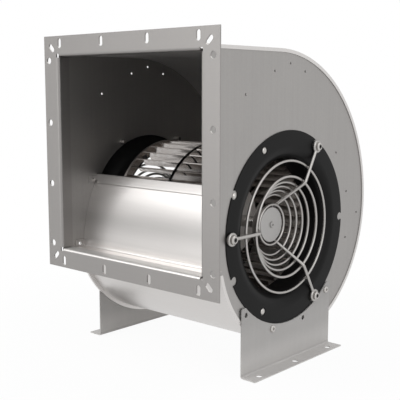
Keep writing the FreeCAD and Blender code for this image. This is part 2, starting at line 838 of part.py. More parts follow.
def make_centre_plate(bore):
    """Round plate with its rim turned back, and the axle's hole in the middle."""
    rim = cells.centre_plate / 2
    wall = cells.centre_plate_gauge / 2
    body = turned("centre_plate_body", [
        (centre_plate_face, bore),
        (centre_plate_face, rim),
        (centre_plate_face - cells.centre_plate_rim, rim),
        (centre_plate_face - cells.centre_plate_rim, rim - wall),
        (centre_plate_back, rim - wall),
        (centre_plate_back, bore),
    ])
    fillet(body, is_circle(centre_plate_face, rim), wall)
    raise_to_axis(body)
    return body


def hexagon(sketch, across_flats):
    """A hexagon round the sketch's origin with two corners on its first axis."""
    reach = across_flats / 2 / cosine(30)
    draw_outline(sketch, [(reach * cosine(60 * step), reach * sine(60 * step)) for step in range(6)])


def make_screw(name, head, head_height, shank, length):
    """A round-headed screw along X with a hexagon socket, its seat at the origin."""
    body = turned(name, [
        (-length, 0), (head_height, 0), (head_height, head / 2 - head_height / 3),
        (head_height * 0.6, head / 2), (0, head / 2), (0, shank / 2), (-length, shank / 2),
    ])
    socket = new_sketch(body, "YZ_Plane", head_height)
    hexagon(socket, shank * 0.65)
    recess = body.newObject("PartDesign::Pocket", "Pocket")
    recess.Profile = socket
    recess.setExpression("Length", (head_height * 0.6).formula)
    doc.recompute()
    return body


def make_rivet(name, grip):
    """A blind rivet: domed head outside and a bulb behind the sheets."""
    head, height, shank = cells.rivet_head / 2, cells.rivet_head_height, cells.rivet_shank / 2
    bulb = shank * 1.5
    return turned(name, [
        (-grip - bulb, 0), (height, 0), (height, head * 0.45), (height * 0.35, head), (0, head),
        (0, shank), (-grip, shank), (-grip, bulb), (-grip - bulb, bulb * 0.7),
    ])


def make_rivet_nut(name):
    """A rivet nut: collar on the plate's outer face, barrel through it and a bulge behind it."""
    bore, barrel, collar = cells.screw_shank / 2, cells.nut_barrel / 2, cells.nut_collar / 2
    gauge, plate = cells.ring_gauge, cells.plate_gauge
    bulge = barrel * 1.05
    return turned(name, [
        (gauge, bore), (gauge, collar), (0, collar), (0, barrel), (-plate, barrel),
        (-plate, bulge), (-plate - barrel * 0.6, bulge), (-plate - barrel, barrel),
        (-cells.nut_length, barrel), (-cells.nut_length, bore),
    ])


def both_sides(x, spots):
    """The same (y, z) spots on the right side and, mirrored, on the left."""
    places = [(x, across, up, False) for across, up in spots]
    return places + [(-as_size(x), across, up, True) for across, up in spots]


def make_foot():
    """L-shaped foot: upright web round the inlet ring and a flange turned outwards on the floor."""
    body = new_body("foot_body")
    half, floor, top = cells.foot_half_length, -cells.axis_height, -cells.foot_top
    reach = root(cells.foot_cutout * cells.foot_cutout - cells.foot_top * cells.foot_top)
    corner = cells.foot_corner
    web = new_sketch(body, "YZ_Plane", rim_face)
    draw_outline(web, [
        (-half, floor), (half, floor), (half, top - corner, corner, 1), (half - corner, top),
        (reach, top, cells.foot_cutout, -1), (-reach, top),
        (corner - half, top, corner, 1), (-half, top - corner),
    ])
    pad(body, web, cells.foot_gauge)
    base = new_sketch(body, "XY_Plane", floor)
    draw_box(base, rim_face, rim_face + cells.foot_flange, -half, half)
    pad(body, base, cells.foot_gauge)
    along_y = Vector(0, 1, 0)
    inner = Vector((rim_face + cells.foot_gauge).number, 0, (floor + cells.foot_gauge).number)
    fillet(body, is_long_line(inner, along_y, 100), cells.foot_bend - cells.foot_gauge)
    fillet(body, is_long_line(Vector(rim_face.number, 0, floor.number), along_y, 100), cells.foot_bend)
    bolts = new_sketch(body, "XY_Plane", floor)
    for step in (-1, 0, 1):
        draw_circle(bolts, cells.foot_hole_line, cells.foot_hole_spacing * step, cells.foot_hole / 2)
    pocket_through(body, bolts)
    holes = new_sketch(body, "YZ_Plane", rim_face)
    for angle in FOOT_SCREW_ANGLES:
        draw_circle(holes, *on_circle(cells.foot_screw_place, angle), cells.screw_shank / 2 + cells.seam_gap)
    for angle in FOOT_HOLE_ANGLES:
        draw_circle(holes, *on_circle(cells.foot_screw_place, angle), cells.foot_plain_hole / 2)
    pocket_through(body, holes)
    return keep(body, "foot_right")


# Motor: fixed axle with the stator on it, and the rotor that turns round them
shaft = cells.axle_end_radius
seat = cells.bearing_outer / 2
bearing_start = cells.axle_shoulder
bearing_end = cells.axle_shoulder + cells.bearing_width
bearing_middle = cells.axle_shoulder + cells.bearing_width / 2
ball_circle = (shaft + seat) / 2
rotor_end = cells.rotor_half_length
rotor_inner_end = cells.rotor_half_length - cells.rotor_end_gauge
rotor_bore = cells.rotor_radius - cells.rotor_wall
axle_left_end = -(centre_plate_face + cells.axle_stub)


def make_axle():
    """Fixed axle: bored from its left end for the lead, tapped at its right end."""
    bore, tap = cells.axle_bore / 2, cells.small_screw / 2
    tap_end = centre_plate_back - cells.axle_tap_depth
    body = turned("axle_body", [
        (axle_left_end, bore), (-bearing_end, bore), (-bearing_end, 0), (tap_end, 0),
        (tap_end, tap), (centre_plate_back, tap), (centre_plate_back, shaft),
        (cells.axle_shoulder, shaft), (cells.axle_shoulder, cells.axle_radius),
        (-cells.axle_shoulder, cells.axle_radius), (-cells.axle_shoulder, shaft), (axle_left_end, shaft),
    ])
    return keep(body, "axle")


def make_axle_nut():
    """Hexagon nut on the axle's left end."""
    body = new_body("axle_nut_body")
    face = new_sketch(body, "YZ_Plane", -centre_plate_face)
    hexagon(face, cells.axle_nut_flats)
    draw_circle(face, 0, 0, shaft)
    pad(body, face, cells.axle_nut_height, backwards=True)
    return keep(body, "axle_nut")


def make_stator_core():
    body = new_body("stator_core_body")
    half = cells.stator_half_length
    disc = new_sketch(body, "YZ_Plane", -half)
    draw_circle(disc, 0, 0, cells.stator_radius)
    draw_circle(disc, 0, 0, cells.axle_radius)
    pad(body, disc, half * 2)
    slot = new_sketch(body, "YZ_Plane", -half)
    wide, narrow = cells.slot_opening / 2, cells.slot_opening / 4
    neck, out = cells.stator_radius - cells.slot_neck, cells.stator_radius + 1
    draw_outline(slot, [
        (cells.slot_bottom, -wide), (neck, -wide), (neck, -narrow), (out, -narrow),
        (out, narrow), (neck, narrow), (neck, wide), (cells.slot_bottom, wide),
    ])
    cut = pocket_through(body, slot)
    repeat_round_axis(body, cut, cells.stator_slots)
    return keep(body, "stator_core")


def make_stator_windings():
    """Coil bars in the slots, joined by the overhanging end turns."""
    body = new_body("stator_windings_body")
    half = cells.stator_half_length
    inner = cells.slot_bottom + cells.seam_gap
    outer = cells.stator_radius - cells.slot_neck - cells.seam_gap
    ends = new_sketch(body, "XZ_Plane")
    start, finish = half + cells.seam_gap, half + cells.winding_overhang
    draw_box(ends, start, finish, inner, outer)
    revolve(body, ends)
    left_ends = new_sketch(body, "XZ_Plane")
    draw_box(left_ends, -finish, -start, inner, outer)
    bar = new_sketch(body, "YZ_Plane", -start - 1)
    wide = cells.slot_opening / 2 - cells.seam_gap
    draw_box(bar, inner + 0.1, outer - 0.1, -wide, wide)
    bar_pad = pad(body, bar, (start + 1) * 2)
    repeat_round_axis(body, bar_pad, cells.stator_slots)
    revolve(body, left_ends)
    return keep(body, "stator_windings")


def make_rotor_bell():
    """Cast bell: closed right end with a bearing hub, and a flange for the wheel's disc."""
    flange_right = -cells.disc_gauge / 2
    flange_left = flange_right - cells.rotor_flange_gauge
    hub_end = bearing_start - cells.running_gap
    body = turned("rotor_bell_body", [
        (-rotor_inner_end, rotor_bore), (rotor_inner_end, rotor_bore), (rotor_inner_end, cells.hub_radius),
        (hub_end, cells.hub_radius), (hub_end, seat), (bearing_end, seat), (bearing_end, seat - cells.hub_lip),
        (rotor_end, seat - cells.hub_lip), (rotor_end, cells.rotor_radius), (flange_right, cells.rotor_radius),
        (flange_right, cells.rotor_flange), (flange_left, cells.rotor_flange),
        (flange_left, cells.rotor_radius), (-rotor_inner_end, cells.rotor_radius),
    ])
    fillet(body, is_circle(rotor_end, cells.rotor_radius), cells.rotor_end_gauge * 0.75)
    cuts = new_sketch(body, "YZ_Plane")
    for step in range(6):
        draw_circle(cuts, *on_circle(wheel_screw_place, 60 * step), cells.small_screw / 2)
    pocket_through(body, cuts)
    taps = new_sketch(body, "YZ_Plane", -rotor_inner_end)
    for step in range(4):
        draw_circle(taps, *on_circle(shield_screw_place, 90 * step + 45), cells.shield_screw / 2)
    tap = body.newObject("PartDesign::Pocket", "Pocket")
    tap.Profile = taps
    tap.setExpression("Length", shield_screw_length.formula)
    tap.Reversed = True
    doc.recompute()
    return keep(body, "rotor_bell")


wheel_screw_place = (cells.rotor_radius + cells.rotor_flange) / 2
shield_screw_place = cells.rotor_radius - cells.rotor_wall / 2
shield_screw_length = cells.rotor_end_gauge * 3.5


def make_rotor_shield():
    """Cast cover of the rotor's left end, with the other bearing's hub and three raised beads."""
    hub_end = bearing_start - cells.running_gap
    bead, lip = cells.shield_bead, seat - cells.hub_lip
    stations = [
        (-rotor_end, lip), (-bearing_end, lip), (-bearing_end, seat), (-hub_end, seat),
        (-hub_end, cells.hub_radius), (-rotor_inner_end, cells.hub_radius),
        (-rotor_inner_end, cells.rotor_radius), (-rotor_end, cells.rotor_radius),
    ]
    for place in SHIELD_BEADS:
        stations += [(-rotor_end, place + bead), (-rotor_end - bead, place + bead * 0.5),
                     (-rotor_end - bead, place - bead * 0.5), (-rotor_end, place - bead)]
    body = turned("rotor_shield_body", stations)
    holes = new_sketch(body, "YZ_Plane", -rotor_end)
    for step in range(4):
        draw_circle(holes, *on_circle(shield_screw_place, 90 * step + 45), cells.shield_screw / 2)
    pocket_through(body, holes)
    return keep(body, "rotor_shield")


def make_bearing_rings():
    """Inner and outer rings with ball grooves, for the right bearing."""
    groove = cells.ball / 2 + cells.race_gap
    inner_shoulder = shaft + cells.race_height
    outer_shoulder = seat - cells.race_height
    inner_reach = root(groove * groove - (ball_circle - inner_shoulder) * (ball_circle - inner_shoulder))
    outer_reach = root(groove * groove - (outer_shoulder - ball_circle) * (outer_shoulder - ball_circle))
    inner = turned("bearing_inner_body", [
        (bearing_start, shaft), (bearing_end, shaft), (bearing_end, inner_shoulder),
        (bearing_middle + inner_reach, inner_shoulder, groove, -1),
        (bearing_middle - inner_reach, inner_shoulder), (bearing_start, inner_shoulder),
    ])
    outer = turned("bearing_outer_body", [
        (bearing_start, seat), (bearing_start, outer_shoulder),
        (bearing_middle - outer_reach, outer_shoulder, groove, -1),
        (bearing_middle + outer_reach, outer_shoulder), (bearing_end, outer_shoulder), (bearing_end, seat),
    ])
    keep(inner, "bearing_inner_ring_right")
    keep(outer, "bearing_outer_ring_right")
    return inner, outer


def make_balls():
    """A ring of balls in the bearing's grooves."""
    balls = []
    for step in range(int(cells.ball_count.number)):
        ball = doc.addObject("Part::Sphere", "ball")
        ball.setExpression("Radius", (cells.ball / 2).formula)
        across, up = on_circle(ball_circle, as_size(360) / cells.ball_count * step)
        ball.Placement = Placement(Vector(bearing_middle.number, across.number, up.number), Rotation())
        for direction, value in (("x", bearing_middle), ("y", across), ("z", up)):
            ball.setExpression(f"Placement.Base.{direction}", value.formula)
        balls.append(ball)
    compound = doc.addObject("Part::Compound", "bearing_balls")
    compound.Links = balls
    doc.recompute()
    return keep(compound, "bearing_balls_right")


def make_ball_cage():
    """Thin ring with a round pocket for every ball."""
    half_width, half_gauge = cells.cage_width / 2, cells.cage_gauge / 2
    body = tube("ball_cage_body", bearing_middle - half_width, bearing_middle + half_width,
                ball_circle - half_gauge, ball_circle + half_gauge)
    window = new_sketch(body, "XZ_Plane")
    draw_circle(window, bearing_middle, 0, cells.ball / 2 + cells.race_gap)
    cut = pocket_through(body, window)
    repeat_round_axis(body, cut, cells.ball_count)
    return keep(body, "ball_cage_right")


def make_circlips():
    """Open spring rings that hold the bearings on the axle."""
    body = tube("circlip_body", bearing_end, bearing_end + cells.circlip_gauge,
                shaft, shaft + cells.circlip_height)
    mouth = new_sketch(body, "YZ_Plane", bearing_end)
    draw_box(mouth, -cells.circlip_mouth / 2, cells.circlip_mouth / 2, shaft / 2, shaft * 1.5)
    pocket_through(body, mouth)
    return group("circlips", body, [(0, 0, 0, False), (0, 0, 0, True)])


# Wheel: two sets of forward-curved blades on a middle disc, closed by end rings
def make_wheel_disc():
    body = tube("wheel_disc_body", -cells.disc_gauge / 2, cells.disc_gauge / 2,
                cells.rotor_radius + cells.seam_gap, cells.disc_radius)
    holes = new_sketch(body, "YZ_Plane")
    for step in range(6):
        draw_circle(holes, *on_circle(wheel_screw_place, 60 * step), cells.small_screw / 2)
    pocket_through(body, holes)
    return keep(body, "wheel_disc")


def make_blades():
    """Forward-curved blades: each leaves the inner circle radially and turns towards the rotation."""
    body = new_body("blades_body")
    blade = new_sketch(body, "YZ_Plane", cells.disc_gauge / 2)
    half = cells.blade_gauge / 2
    concave, convex = cells.blade_curve - half, cells.blade_curve + half
    reach, rise = sine(cells.blade_turn), cosine(cells.blade_turn)
    draw_outline(blade, [
        (cells.blade_inner, -half, convex, 1),
        (cells.blade_inner + convex * reach, cells.blade_curve - convex * rise),
        (cells.blade_inner + concave * reach, cells.blade_curve - concave * rise, concave, -1),
        (cells.blade_inner, half),
    ])
    length = wheel_end - cells.end_ring_gauge - cells.disc_gauge / 2
    feature = pad(body, blade, length)
    repeat_round_axis(body, feature, cells.blade_count)
    return keep(body, "blades_right")


def make_end_ring():
    """Flat ring over the blade ends, with a narrow rim round their tips."""
    rim = cells.disc_radius - cells.running_gap * 2
    body = turned("end_ring_body", [
        (wheel_end, cells.end_ring_inner), (wheel_end, cells.disc_radius),
        (wheel_end - cells.end_ring_rim, cells.disc_radius), (wheel_end - cells.end_ring_rim, rim),
        (wheel_end - cells.end_ring_gauge, rim), (wheel_end - cells.end_ring_gauge, cells.end_ring_inner),
    ])
    return keep(body, "end_ring_right")


def make_balance_clips():
    """Spring clips pushed over the inner edge of an end ring, between two blades."""
    body = new_body("balance_clip_body")
    sheet_gauge = cells.blade_gauge
    outer_face = wheel_end + cells.seam_gap / 2
    inner_face = wheel_end - cells.end_ring_gauge - cells.seam_gap / 2
    edge = cells.end_ring_inner - cells.seam_gap / 2
    tip = cells.end_ring_inner + cells.clip_reach
    clip = new_sketch(body, "XY_Plane")
    draw_outline(clip, [
        (outer_face, tip), (outer_face, edge), (inner_face, edge), (inner_face, tip),
        (inner_face - sheet_gauge, tip), (inner_face - sheet_gauge, edge - sheet_gauge),
        (outer_face + sheet_gauge, edge - sheet_gauge), (outer_face + sheet_gauge, tip),
    ])
    pad(body, clip, cells.clip_width, middle=True)
    pitch = 360 / cells.blade_count.number
    copies = []
    for step, flipped in ((5, False), (14, True)):
        copy = doc.addObject("App::Link", "balance_clip")
        copy.LinkedObject = body
        angle = pitch * (step - 0.33)
        flip = Rotation(Vector(0, 1, 0), 180) if flipped else Rotation()
        copy.Placement = Placement(Vector(0, 0, 0), Rotation(Vector(1, 0, 0), angle) * flip)
        copies.append(copy)
    compound = doc.addObject("Part::Compound", "balance_clips")
    compound.Links = copies
    doc.recompute()
    return keep(compound, "balance_clips")


# Build everything, the housing first
side_plate = make_side_plate()
mirror_across(side_plate, "side_plate_left")
make_scroll_wrap()
make_cutoff_plate()
make_outlet_flange()
group("cutoff_rivets", make_rivet("cutoff_rivet", cells.plate_gauge + cells.seam_gap + cells.cutoff_gauge),
      both_sides(plate_face, [CUTOFF_RIVET]))
inlet_ring = make_inlet_ring()
mirror_across(inlet_ring, "inlet_ring_left")

for spoke_name, spoke_angle in (("rear", 60), ("front", 180), ("lower", 300)):
    spoke = make_spoke(spoke_angle, f"support_spoke_{spoke_name}_right")
    mirror_across(spoke, f"support_spoke_{spoke_name}_left")
mirror_across(make_wire_rings(), "guard_rings_left")
keep(make_centre_plate(cells.small_screw / 2 + cells.seam_gap), "centre_plate_right")
mirror_across(make_centre_plate(shaft), "centre_plate_left")

spoke_spots = [on_circle(cells.spoke_screw_place, angle) for angle in SPOKE_ANGLES]
foot_spots = [on_circle(cells.foot_screw_place, angle) for angle in FOOT_SCREW_ANGLES]
rivet_nut = make_rivet_nut("rivet_nut")
group("spoke_rivet_nuts", rivet_nut, both_sides(plate_face, spoke_spots))
group("foot_rivet_nuts", rivet_nut, both_sides(plate_face, foot_spots))
eye_seat = spoke_plane + cells.spoke_rod / 2
spoke_screw = make_screw("spoke_screw", cells.screw_head, cells.screw_head_height, cells.screw_shank,
                         eye_seat - plate_face + cells.nut_length - 1)
group("spoke_screws", spoke_screw, both_sides(eye_seat, spoke_spots))
web_face = rim_face + cells.foot_gauge
foot_screw = make_screw("foot_screw", cells.foot_screw_head, cells.foot_screw_head_height, cells.screw_shank,
                        web_face - plate_face + cells.nut_length - 1)
group("foot_screws", foot_screw, both_sides(web_face, foot_spots))
mirror_across(make_foot(), "foot_left")

make_axle()
axle_screw = make_screw("axle_screw_source", cells.small_screw * 1.8, cells.small_screw * 0.45,
                        cells.small_screw, cells.centre_plate_gauge + cells.axle_tap_depth - 2)
group("axle_screw", axle_screw, [(centre_plate_face, 0, 0, False)])
make_axle_nut()
make_stator_core()
make_stator_windings()
bearing_inner, bearing_outer = make_bearing_rings()
mirror_across(bearing_inner, "bearing_inner_ring_left")
mirror_across(bearing_outer, "bearing_outer_ring_left")
mirror_across(make_ball_cage(), "ball_cage_left")
mirror_across(make_balls(), "bearing_balls_left")
make_circlips()

make_rotor_bell()
tube_core = tube("rotor_core_body", -cells.rotor_core_half_length, cells.rotor_core_half_length,
                 cells.rotor_core_bore / 2, rotor_bore)
keep(tube_core, "rotor_core")
make_rotor_shield()
shield_screw = make_screw("shield_screw", cells.shield_screw * 1.9, cells.shield_screw * 0.55,
                          cells.shield_screw, shield_screw_length)
group("shield_screws", shield_screw,
      [(-rotor_end, *on_circle(shield_screw_place, 90 * step + 45), True) for step in range(4)])

make_wheel_disc()
blades = make_blades()
mirror_across(blades, "blades_left")
mirror_across(make_end_ring(), "end_ring_left")
wheel_screw = make_screw("wheel_screw", cells.small_screw * 1.7, cells.small_screw * 0.6,
                         cells.small_screw, cells.disc_gauge + cells.rotor_flange_gauge + 3)
group("wheel_screws", wheel_screw,
      [(cells.disc_gauge / 2, *on_circle(wheel_screw_place, 60 * step), False) for step in range(6)])
make_balance_clips()

# Check every object, then write each sub-part to its own file
doc.recompute()
faults = [f"{item.Name} ({item.Label}): {item.State}" for item in doc.Objects
          if "Invalid" in item.State or "Error" in item.State]
faults += [f"{item.Label} has no valid shape" for item in nodes
           if item.Shape.isNull() or not item.Shape.isValid()]
if faults:
    raise RuntimeError("; ".join(faults))
os.makedirs("parts", exist_ok=True)
for item in nodes:
    item.Shape.exportStep(f"parts/{item.Label}.step")
    box = item.Shape.optimalBoundingBox()
    print(f"{item.Label}: {len(item.Shape.Solids)} solid(s), volume {item.Shape.Volume:.0f}, "
          f"x {box.XMin:.1f} to {box.XMax:.1f}, y {box.YMin:.1f} to {box.YMax:.1f}, "
          f"z {box.ZMin:.1f} to {box.ZMax:.1f}")
print(len(nodes), "nodes")
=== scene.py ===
# %% [markdown]
# A blower fan, dressed for its picture.
# The solid model fixes every size, and this file adds what a camera sees: light, finishes and small
# surface details. We load the model first, because everything else is placed against it.

import json
import math

import bmesh
import bpy
from mathutils import Matrix, Vector


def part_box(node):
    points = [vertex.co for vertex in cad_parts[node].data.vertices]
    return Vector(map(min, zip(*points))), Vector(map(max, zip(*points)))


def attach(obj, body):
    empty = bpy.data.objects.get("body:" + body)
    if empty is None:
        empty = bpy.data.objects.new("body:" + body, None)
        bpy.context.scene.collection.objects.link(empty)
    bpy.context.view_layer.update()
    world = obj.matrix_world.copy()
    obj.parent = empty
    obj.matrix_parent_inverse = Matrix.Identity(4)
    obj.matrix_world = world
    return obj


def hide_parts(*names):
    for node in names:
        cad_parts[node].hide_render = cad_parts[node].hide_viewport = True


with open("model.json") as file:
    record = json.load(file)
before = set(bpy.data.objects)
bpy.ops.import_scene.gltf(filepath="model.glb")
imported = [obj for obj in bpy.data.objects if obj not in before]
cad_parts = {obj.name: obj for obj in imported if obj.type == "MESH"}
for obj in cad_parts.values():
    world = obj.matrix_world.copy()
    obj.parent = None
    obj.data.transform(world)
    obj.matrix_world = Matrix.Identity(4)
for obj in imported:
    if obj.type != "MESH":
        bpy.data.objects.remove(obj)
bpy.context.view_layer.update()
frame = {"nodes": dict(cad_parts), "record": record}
nodes = frame["nodes"]

# %% [markdown]
# The camera stands where the photographer stood: to the right of the outlet and a little above it.
# A long lens from over a metre away keeps the square flange nearly square, so we set the place, the
# target and the focal length in numbers instead of framing by eye.

# %% Camera
AXIS_HEIGHT = 0.195

camera_data = bpy.data.cameras.new("camera")
camera_data.lens = 72.13
camera_data.sensor_width = 36
camera = bpy.data.objects.new("camera", camera_data)
camera.location = (0.8010, -0.9176, 0.1940 + AXIS_HEIGHT)
target = Vector((-0.0262, 0, 0.0231 + AXIS_HEIGHT))
camera.rotation_euler = (target - camera.location).to_track_quat("-Z", "Y").to_euler()
bpy.context.scene.collection.objects.link(camera)
bpy.context.scene.camera = camera
print("camera stands", round((target - camera.location).length, 3), "m from its target")

# %% [markdown]
# A studio is a white floor, an even white surround and a few large soft lamps.
# We could use a picture of a studio as the light, but a few area lamps and a plain world show polished
# sheet metal just as well and stay easy to change.
# The camera sees pure white behind the fan, and so do the reflections in its metal. That white comes
# from the colour of the floor and the world and never from stronger lamps: the Light Path node tells
# us which rays are looking, and only the soft light on matt surfaces comes from the grey room.

# %% Helpers for node trees
def add_node(tree, kind, place=(0, 0), **settings):
    """Put a node into a tree and set its options."""
    node = tree.nodes.new(kind)
    node.location = place
    for name, value in settings.items():
        setattr(node, name, value)
    return node


def set_inputs(node, **values):
    """Set a node's sockets by name, with underscores for spaces."""
    for name, value in values.items():
        node.inputs[name.replace("_", " ")].default_value = value


def white_rays(tree, place):
    """A mask of 1 for rays that the camera, a reflection or clear glass looks along."""
    path = add_node(tree, "ShaderNodeLightPath", place)
    either = add_node(tree, "ShaderNodeMath", (place[0] + 200, place[1]), operation="MAXIMUM")
    tree.links.new(path.outputs["Is Camera Ray"], either.inputs[0])
    tree.links.new(path.outputs["Is Glossy Ray"], either.inputs[1])
    every = add_node(tree, "ShaderNodeMath", (place[0] + 400, place[1]), operation="MAXIMUM")
    tree.links.new(either.outputs["Value"], every.inputs[0])
    tree.links.new(path.outputs["Is Transmission Ray"], every.inputs[1])
    return every.outputs["Value"]


# %% World
scene = bpy.context.scene
world = bpy.data.worlds.new("studio")
world.use_nodes = True
scene.world = world
tree = world.node_tree
tree.nodes.clear()
output = add_node(tree, "ShaderNodeOutputWorld", (900, 0))
white = add_node(tree, "ShaderNodeBackground", (450, 120))
set_inputs(white, Color=(1, 1, 1, 1), Strength=1.0)
room = add_node(tree, "ShaderNodeBackground", (450, -60))
pick = add_node(tree, "ShaderNodeMixShader", (680, 0))
place = add_node(tree, "ShaderNodeTexCoord", (-600, -60))
split = add_node(tree, "ShaderNodeSeparateXYZ", (-420, -60))
rise = add_node(tree, "ShaderNodeMapRange", (-240, -60))
set_inputs(rise, From_Min=-0.4, From_Max=0.9, To_Min=0.0, To_Max=1.0)
tint = add_node(tree, "ShaderNodeValToRGB", (-20, -60))
tint.color_ramp.elements[0].color = (0.92, 0.91, 0.90, 1)
tint.color_ramp.elements[1].color = (0.88, 0.89, 0.91, 1)
tree.links.new(place.outputs["Generated"], split.inputs["Vector"])
tree.links.new(split.outputs["Z"], rise.inputs["Value"])
tree.links.new(rise.outputs["Result"], tint.inputs["Fac"])
tree.links.new(tint.outputs["Color"], room.inputs["Color"])
room.inputs["Strength"].default_value = 0.85
tree.links.new(white_rays(tree, (0, 300)), pick.inputs["Fac"])
tree.links.new(room.outputs["Background"], pick.inputs[1])
tree.links.new(white.outputs["Background"], pick.inputs[2])
tree.links.new(pick.outputs["Shader"], output.inputs["Surface"])
print("world nodes:", len(tree.nodes))

# %% Floor
FLOOR_SIDE = 12.0

floor_mesh = bpy.data.meshes.new("floor")
shape = bmesh.new()
bmesh.ops.create_grid(shape, x_segments=1, y_segments=1, size=FLOOR_SIDE / 2)
shape.to_mesh(floor_mesh)
shape.free()
floor = bpy.data.objects.new("floor", floor_mesh)
floor.location.z = -0.0005
scene.collection.objects.link(floor)

# %% [markdown]
# The floor is white paper. It has to vanish into the white behind it and still hold the fan's soft
# shadow, so near the fan a small share of it is matt paper, which shows the shadow, and further out
# it turns fully into the plain white of the background. The distance from the middle sets the share.

# %% Floor paper
floor_paint = bpy.data.materials.new("floor_paper")
floor_paint.use_nodes = True
tree = floor_paint.node_tree
tree.nodes.clear()
output = add_node(tree, "ShaderNodeOutputMaterial", (700, 0))
matte = add_node(tree, "ShaderNodeBsdfDiffuse", (200, 0))
matte.inputs["Color"].default_value = (0.82, 0.82, 0.82, 1)
glow = add_node(tree, "ShaderNodeEmission", (200, -150))
set_inputs(glow, Color=(1, 1, 1, 1), Strength=1.0)
where = add_node(tree, "ShaderNodeTexCoord", (-600, 100))
reach = add_node(tree, "ShaderNodeVectorMath", (-400, 100), operation="LENGTH")
tree.links.new(where.outputs["Object"], reach.inputs[0])
fade = add_node(tree, "ShaderNodeMapRange", (-200, 100), interpolation_type="SMOOTHSTEP")
set_inputs(fade, From_Min=0.25, From_Max=0.75, To_Min=0.95, To_Max=1.0)
tree.links.new(reach.outputs["Value"], fade.inputs["Value"])
share = add_node(tree, "ShaderNodeMath", (200, 300), operation="MULTIPLY")
tree.links.new(fade.outputs["Result"], share.inputs[1])
pick = add_node(tree, "ShaderNodeMixShader", (450, 0))
tree.links.new(white_rays(tree, (-400, 400)), share.inputs[0])
tree.links.new(share.outputs["Value"], pick.inputs["Fac"])
tree.links.new(matte.outputs["BSDF"], pick.inputs[1])
tree.links.new(glow.outputs["Emission"], pick.inputs[2])
tree.links.new(pick.outputs["Shader"], output.inputs["Surface"])
floor_mesh.materials.append(floor_paint)
print("floor:", FLOOR_SIDE, "m square")

# %% [markdown]
# Four square lamps light the fan, each two to seven times as wide as it. Sheet metal mirrors a lamp
# that large as a wide, soft highlight, where a small one would leave a hard white spot. They are kept
# dim, so that only the middle of the brightest highlight comes near to white.

# %% Lamps
def soft_lamp(name, place, aim, size, power):
    """A square soft lamp that points at a place."""
    lamp = bpy.data.lights.new(name, "AREA")
    lamp.shape = "SQUARE"
    lamp.size = size
    lamp.energy = power
    holder = bpy.data.objects.new(name, lamp)
    holder.location = place
    holder.rotation_euler = (Vector(aim) - Vector(place)).to_track_quat("-Z", "Y").to_euler()
    scene.collection.objects.link(holder)
    return holder


soft_lamp("front_lamp", (-1.2, -1.7, 1.7), (0, 0, 0.2), 1.3, 14)
soft_lamp("low_lamp", (-0.9, -2.2, 0.35), (0, 0, 0.2), 0.8, 5)
soft_lamp("side_lamp", (2.6, -0.2, 1.2), (0, 0, 0.2), 1.8, 13)
soft_lamp("top_lamp", (0.4, 0.3, 2.8), (0, 0, 0.2), 2.4, 9)

# %% [markdown]
# Most of the fan is galvanised sheet: steel dipped in zinc, which sets in pale crystals, called
# spangle, and is then rolled. It is a metal, so it has no colour of its own under the shine.
# Up close, three things show: cloudy patches as wide as a hand, spangle a few millimetres wide, and
# fine lines along the rolling direction. Each one is a noise pattern at its own scale, and because
# several finishes need them, we build them once as a group with named inputs and outputs.

# %% Group: sheet metal patterns
LINES_ACROSS_X = 14.0


def new_group(name, inputs, outputs):
    """An empty shader group with float inputs (name, default) and named outputs."""
    group = bpy.data.node_groups.new(name, "ShaderNodeTree")
    for title, default in inputs:
        socket = group.interface.new_socket(title, in_out="INPUT", socket_type="NodeSocketFloat")
        socket.default_value = default
    for title, kind in outputs:
        group.interface.new_socket(title, in_out="OUTPUT", socket_type=kind)
    entrance = add_node(group, "NodeGroupInput", (-900, 0))
    way_out = add_node(group, "NodeGroupOutput", (900, 0))
    return group, entrance, way_out


sheet_group, given, result = new_group(
    "sheet_metal",
    [("Spangle Size", 2.0), ("Tone Change", 0.1), ("Spangle Share", 0.3), ("Rough Change", 0.1),
     ("Lines Across Y", 14.0), ("Lines Across Z", 900.0)],
    [("Tone", "NodeSocketFloat"), ("Roughness Shift", "NodeSocketFloat"), ("Height", "NodeSocketFloat")])
place = add_node(sheet_group, "ShaderNodeTexCoord", (-900, 300))
cloud = add_node(sheet_group, "ShaderNodeTexNoise", (-600, 400))
set_inputs(cloud, Scale=9.0, Detail=3.0)
per_metre = add_node(sheet_group, "ShaderNodeMath", (-750, 120), operation="DIVIDE")
per_metre.inputs[0].default_value = 1000.0
spangle = add_node(sheet_group, "ShaderNodeTexVoronoi", (-600, 120), feature="SMOOTH_F1")
lines_at = add_node(sheet_group, "ShaderNodeVectorMath", (-750, -150), operation="MULTIPLY")
stretch = add_node(sheet_group, "ShaderNodeCombineXYZ", (-900, -300))
stretch.inputs["X"].default_value = LINES_ACROSS_X
sheet_group.links.new(given.outputs["Lines Across Y"], stretch.inputs["Y"])
sheet_group.links.new(given.outputs["Lines Across Z"], stretch.inputs["Z"])
sheet_group.links.new(stretch.outputs["Vector"], lines_at.inputs[1])
lines = add_node(sheet_group, "ShaderNodeTexNoise", (-600, -150))
set_inputs(lines, Scale=1.0, Detail=2.0)
print("group", sheet_group.name, "has", len(sheet_group.nodes), "nodes so far")

# %% Group: join the patterns
def join(group, kind, first, second, place=(0, 0)):
    """A two-input maths node between sockets or numbers."""
    node = add_node(group, "ShaderNodeMath", place, operation=kind)
    for index, value in enumerate((first, second)):
        if isinstance(value, (int, float)):
            node.inputs[index].default_value = value
        else:
            group.links.new(value, node.inputs[index])
    return node.outputs["Value"]


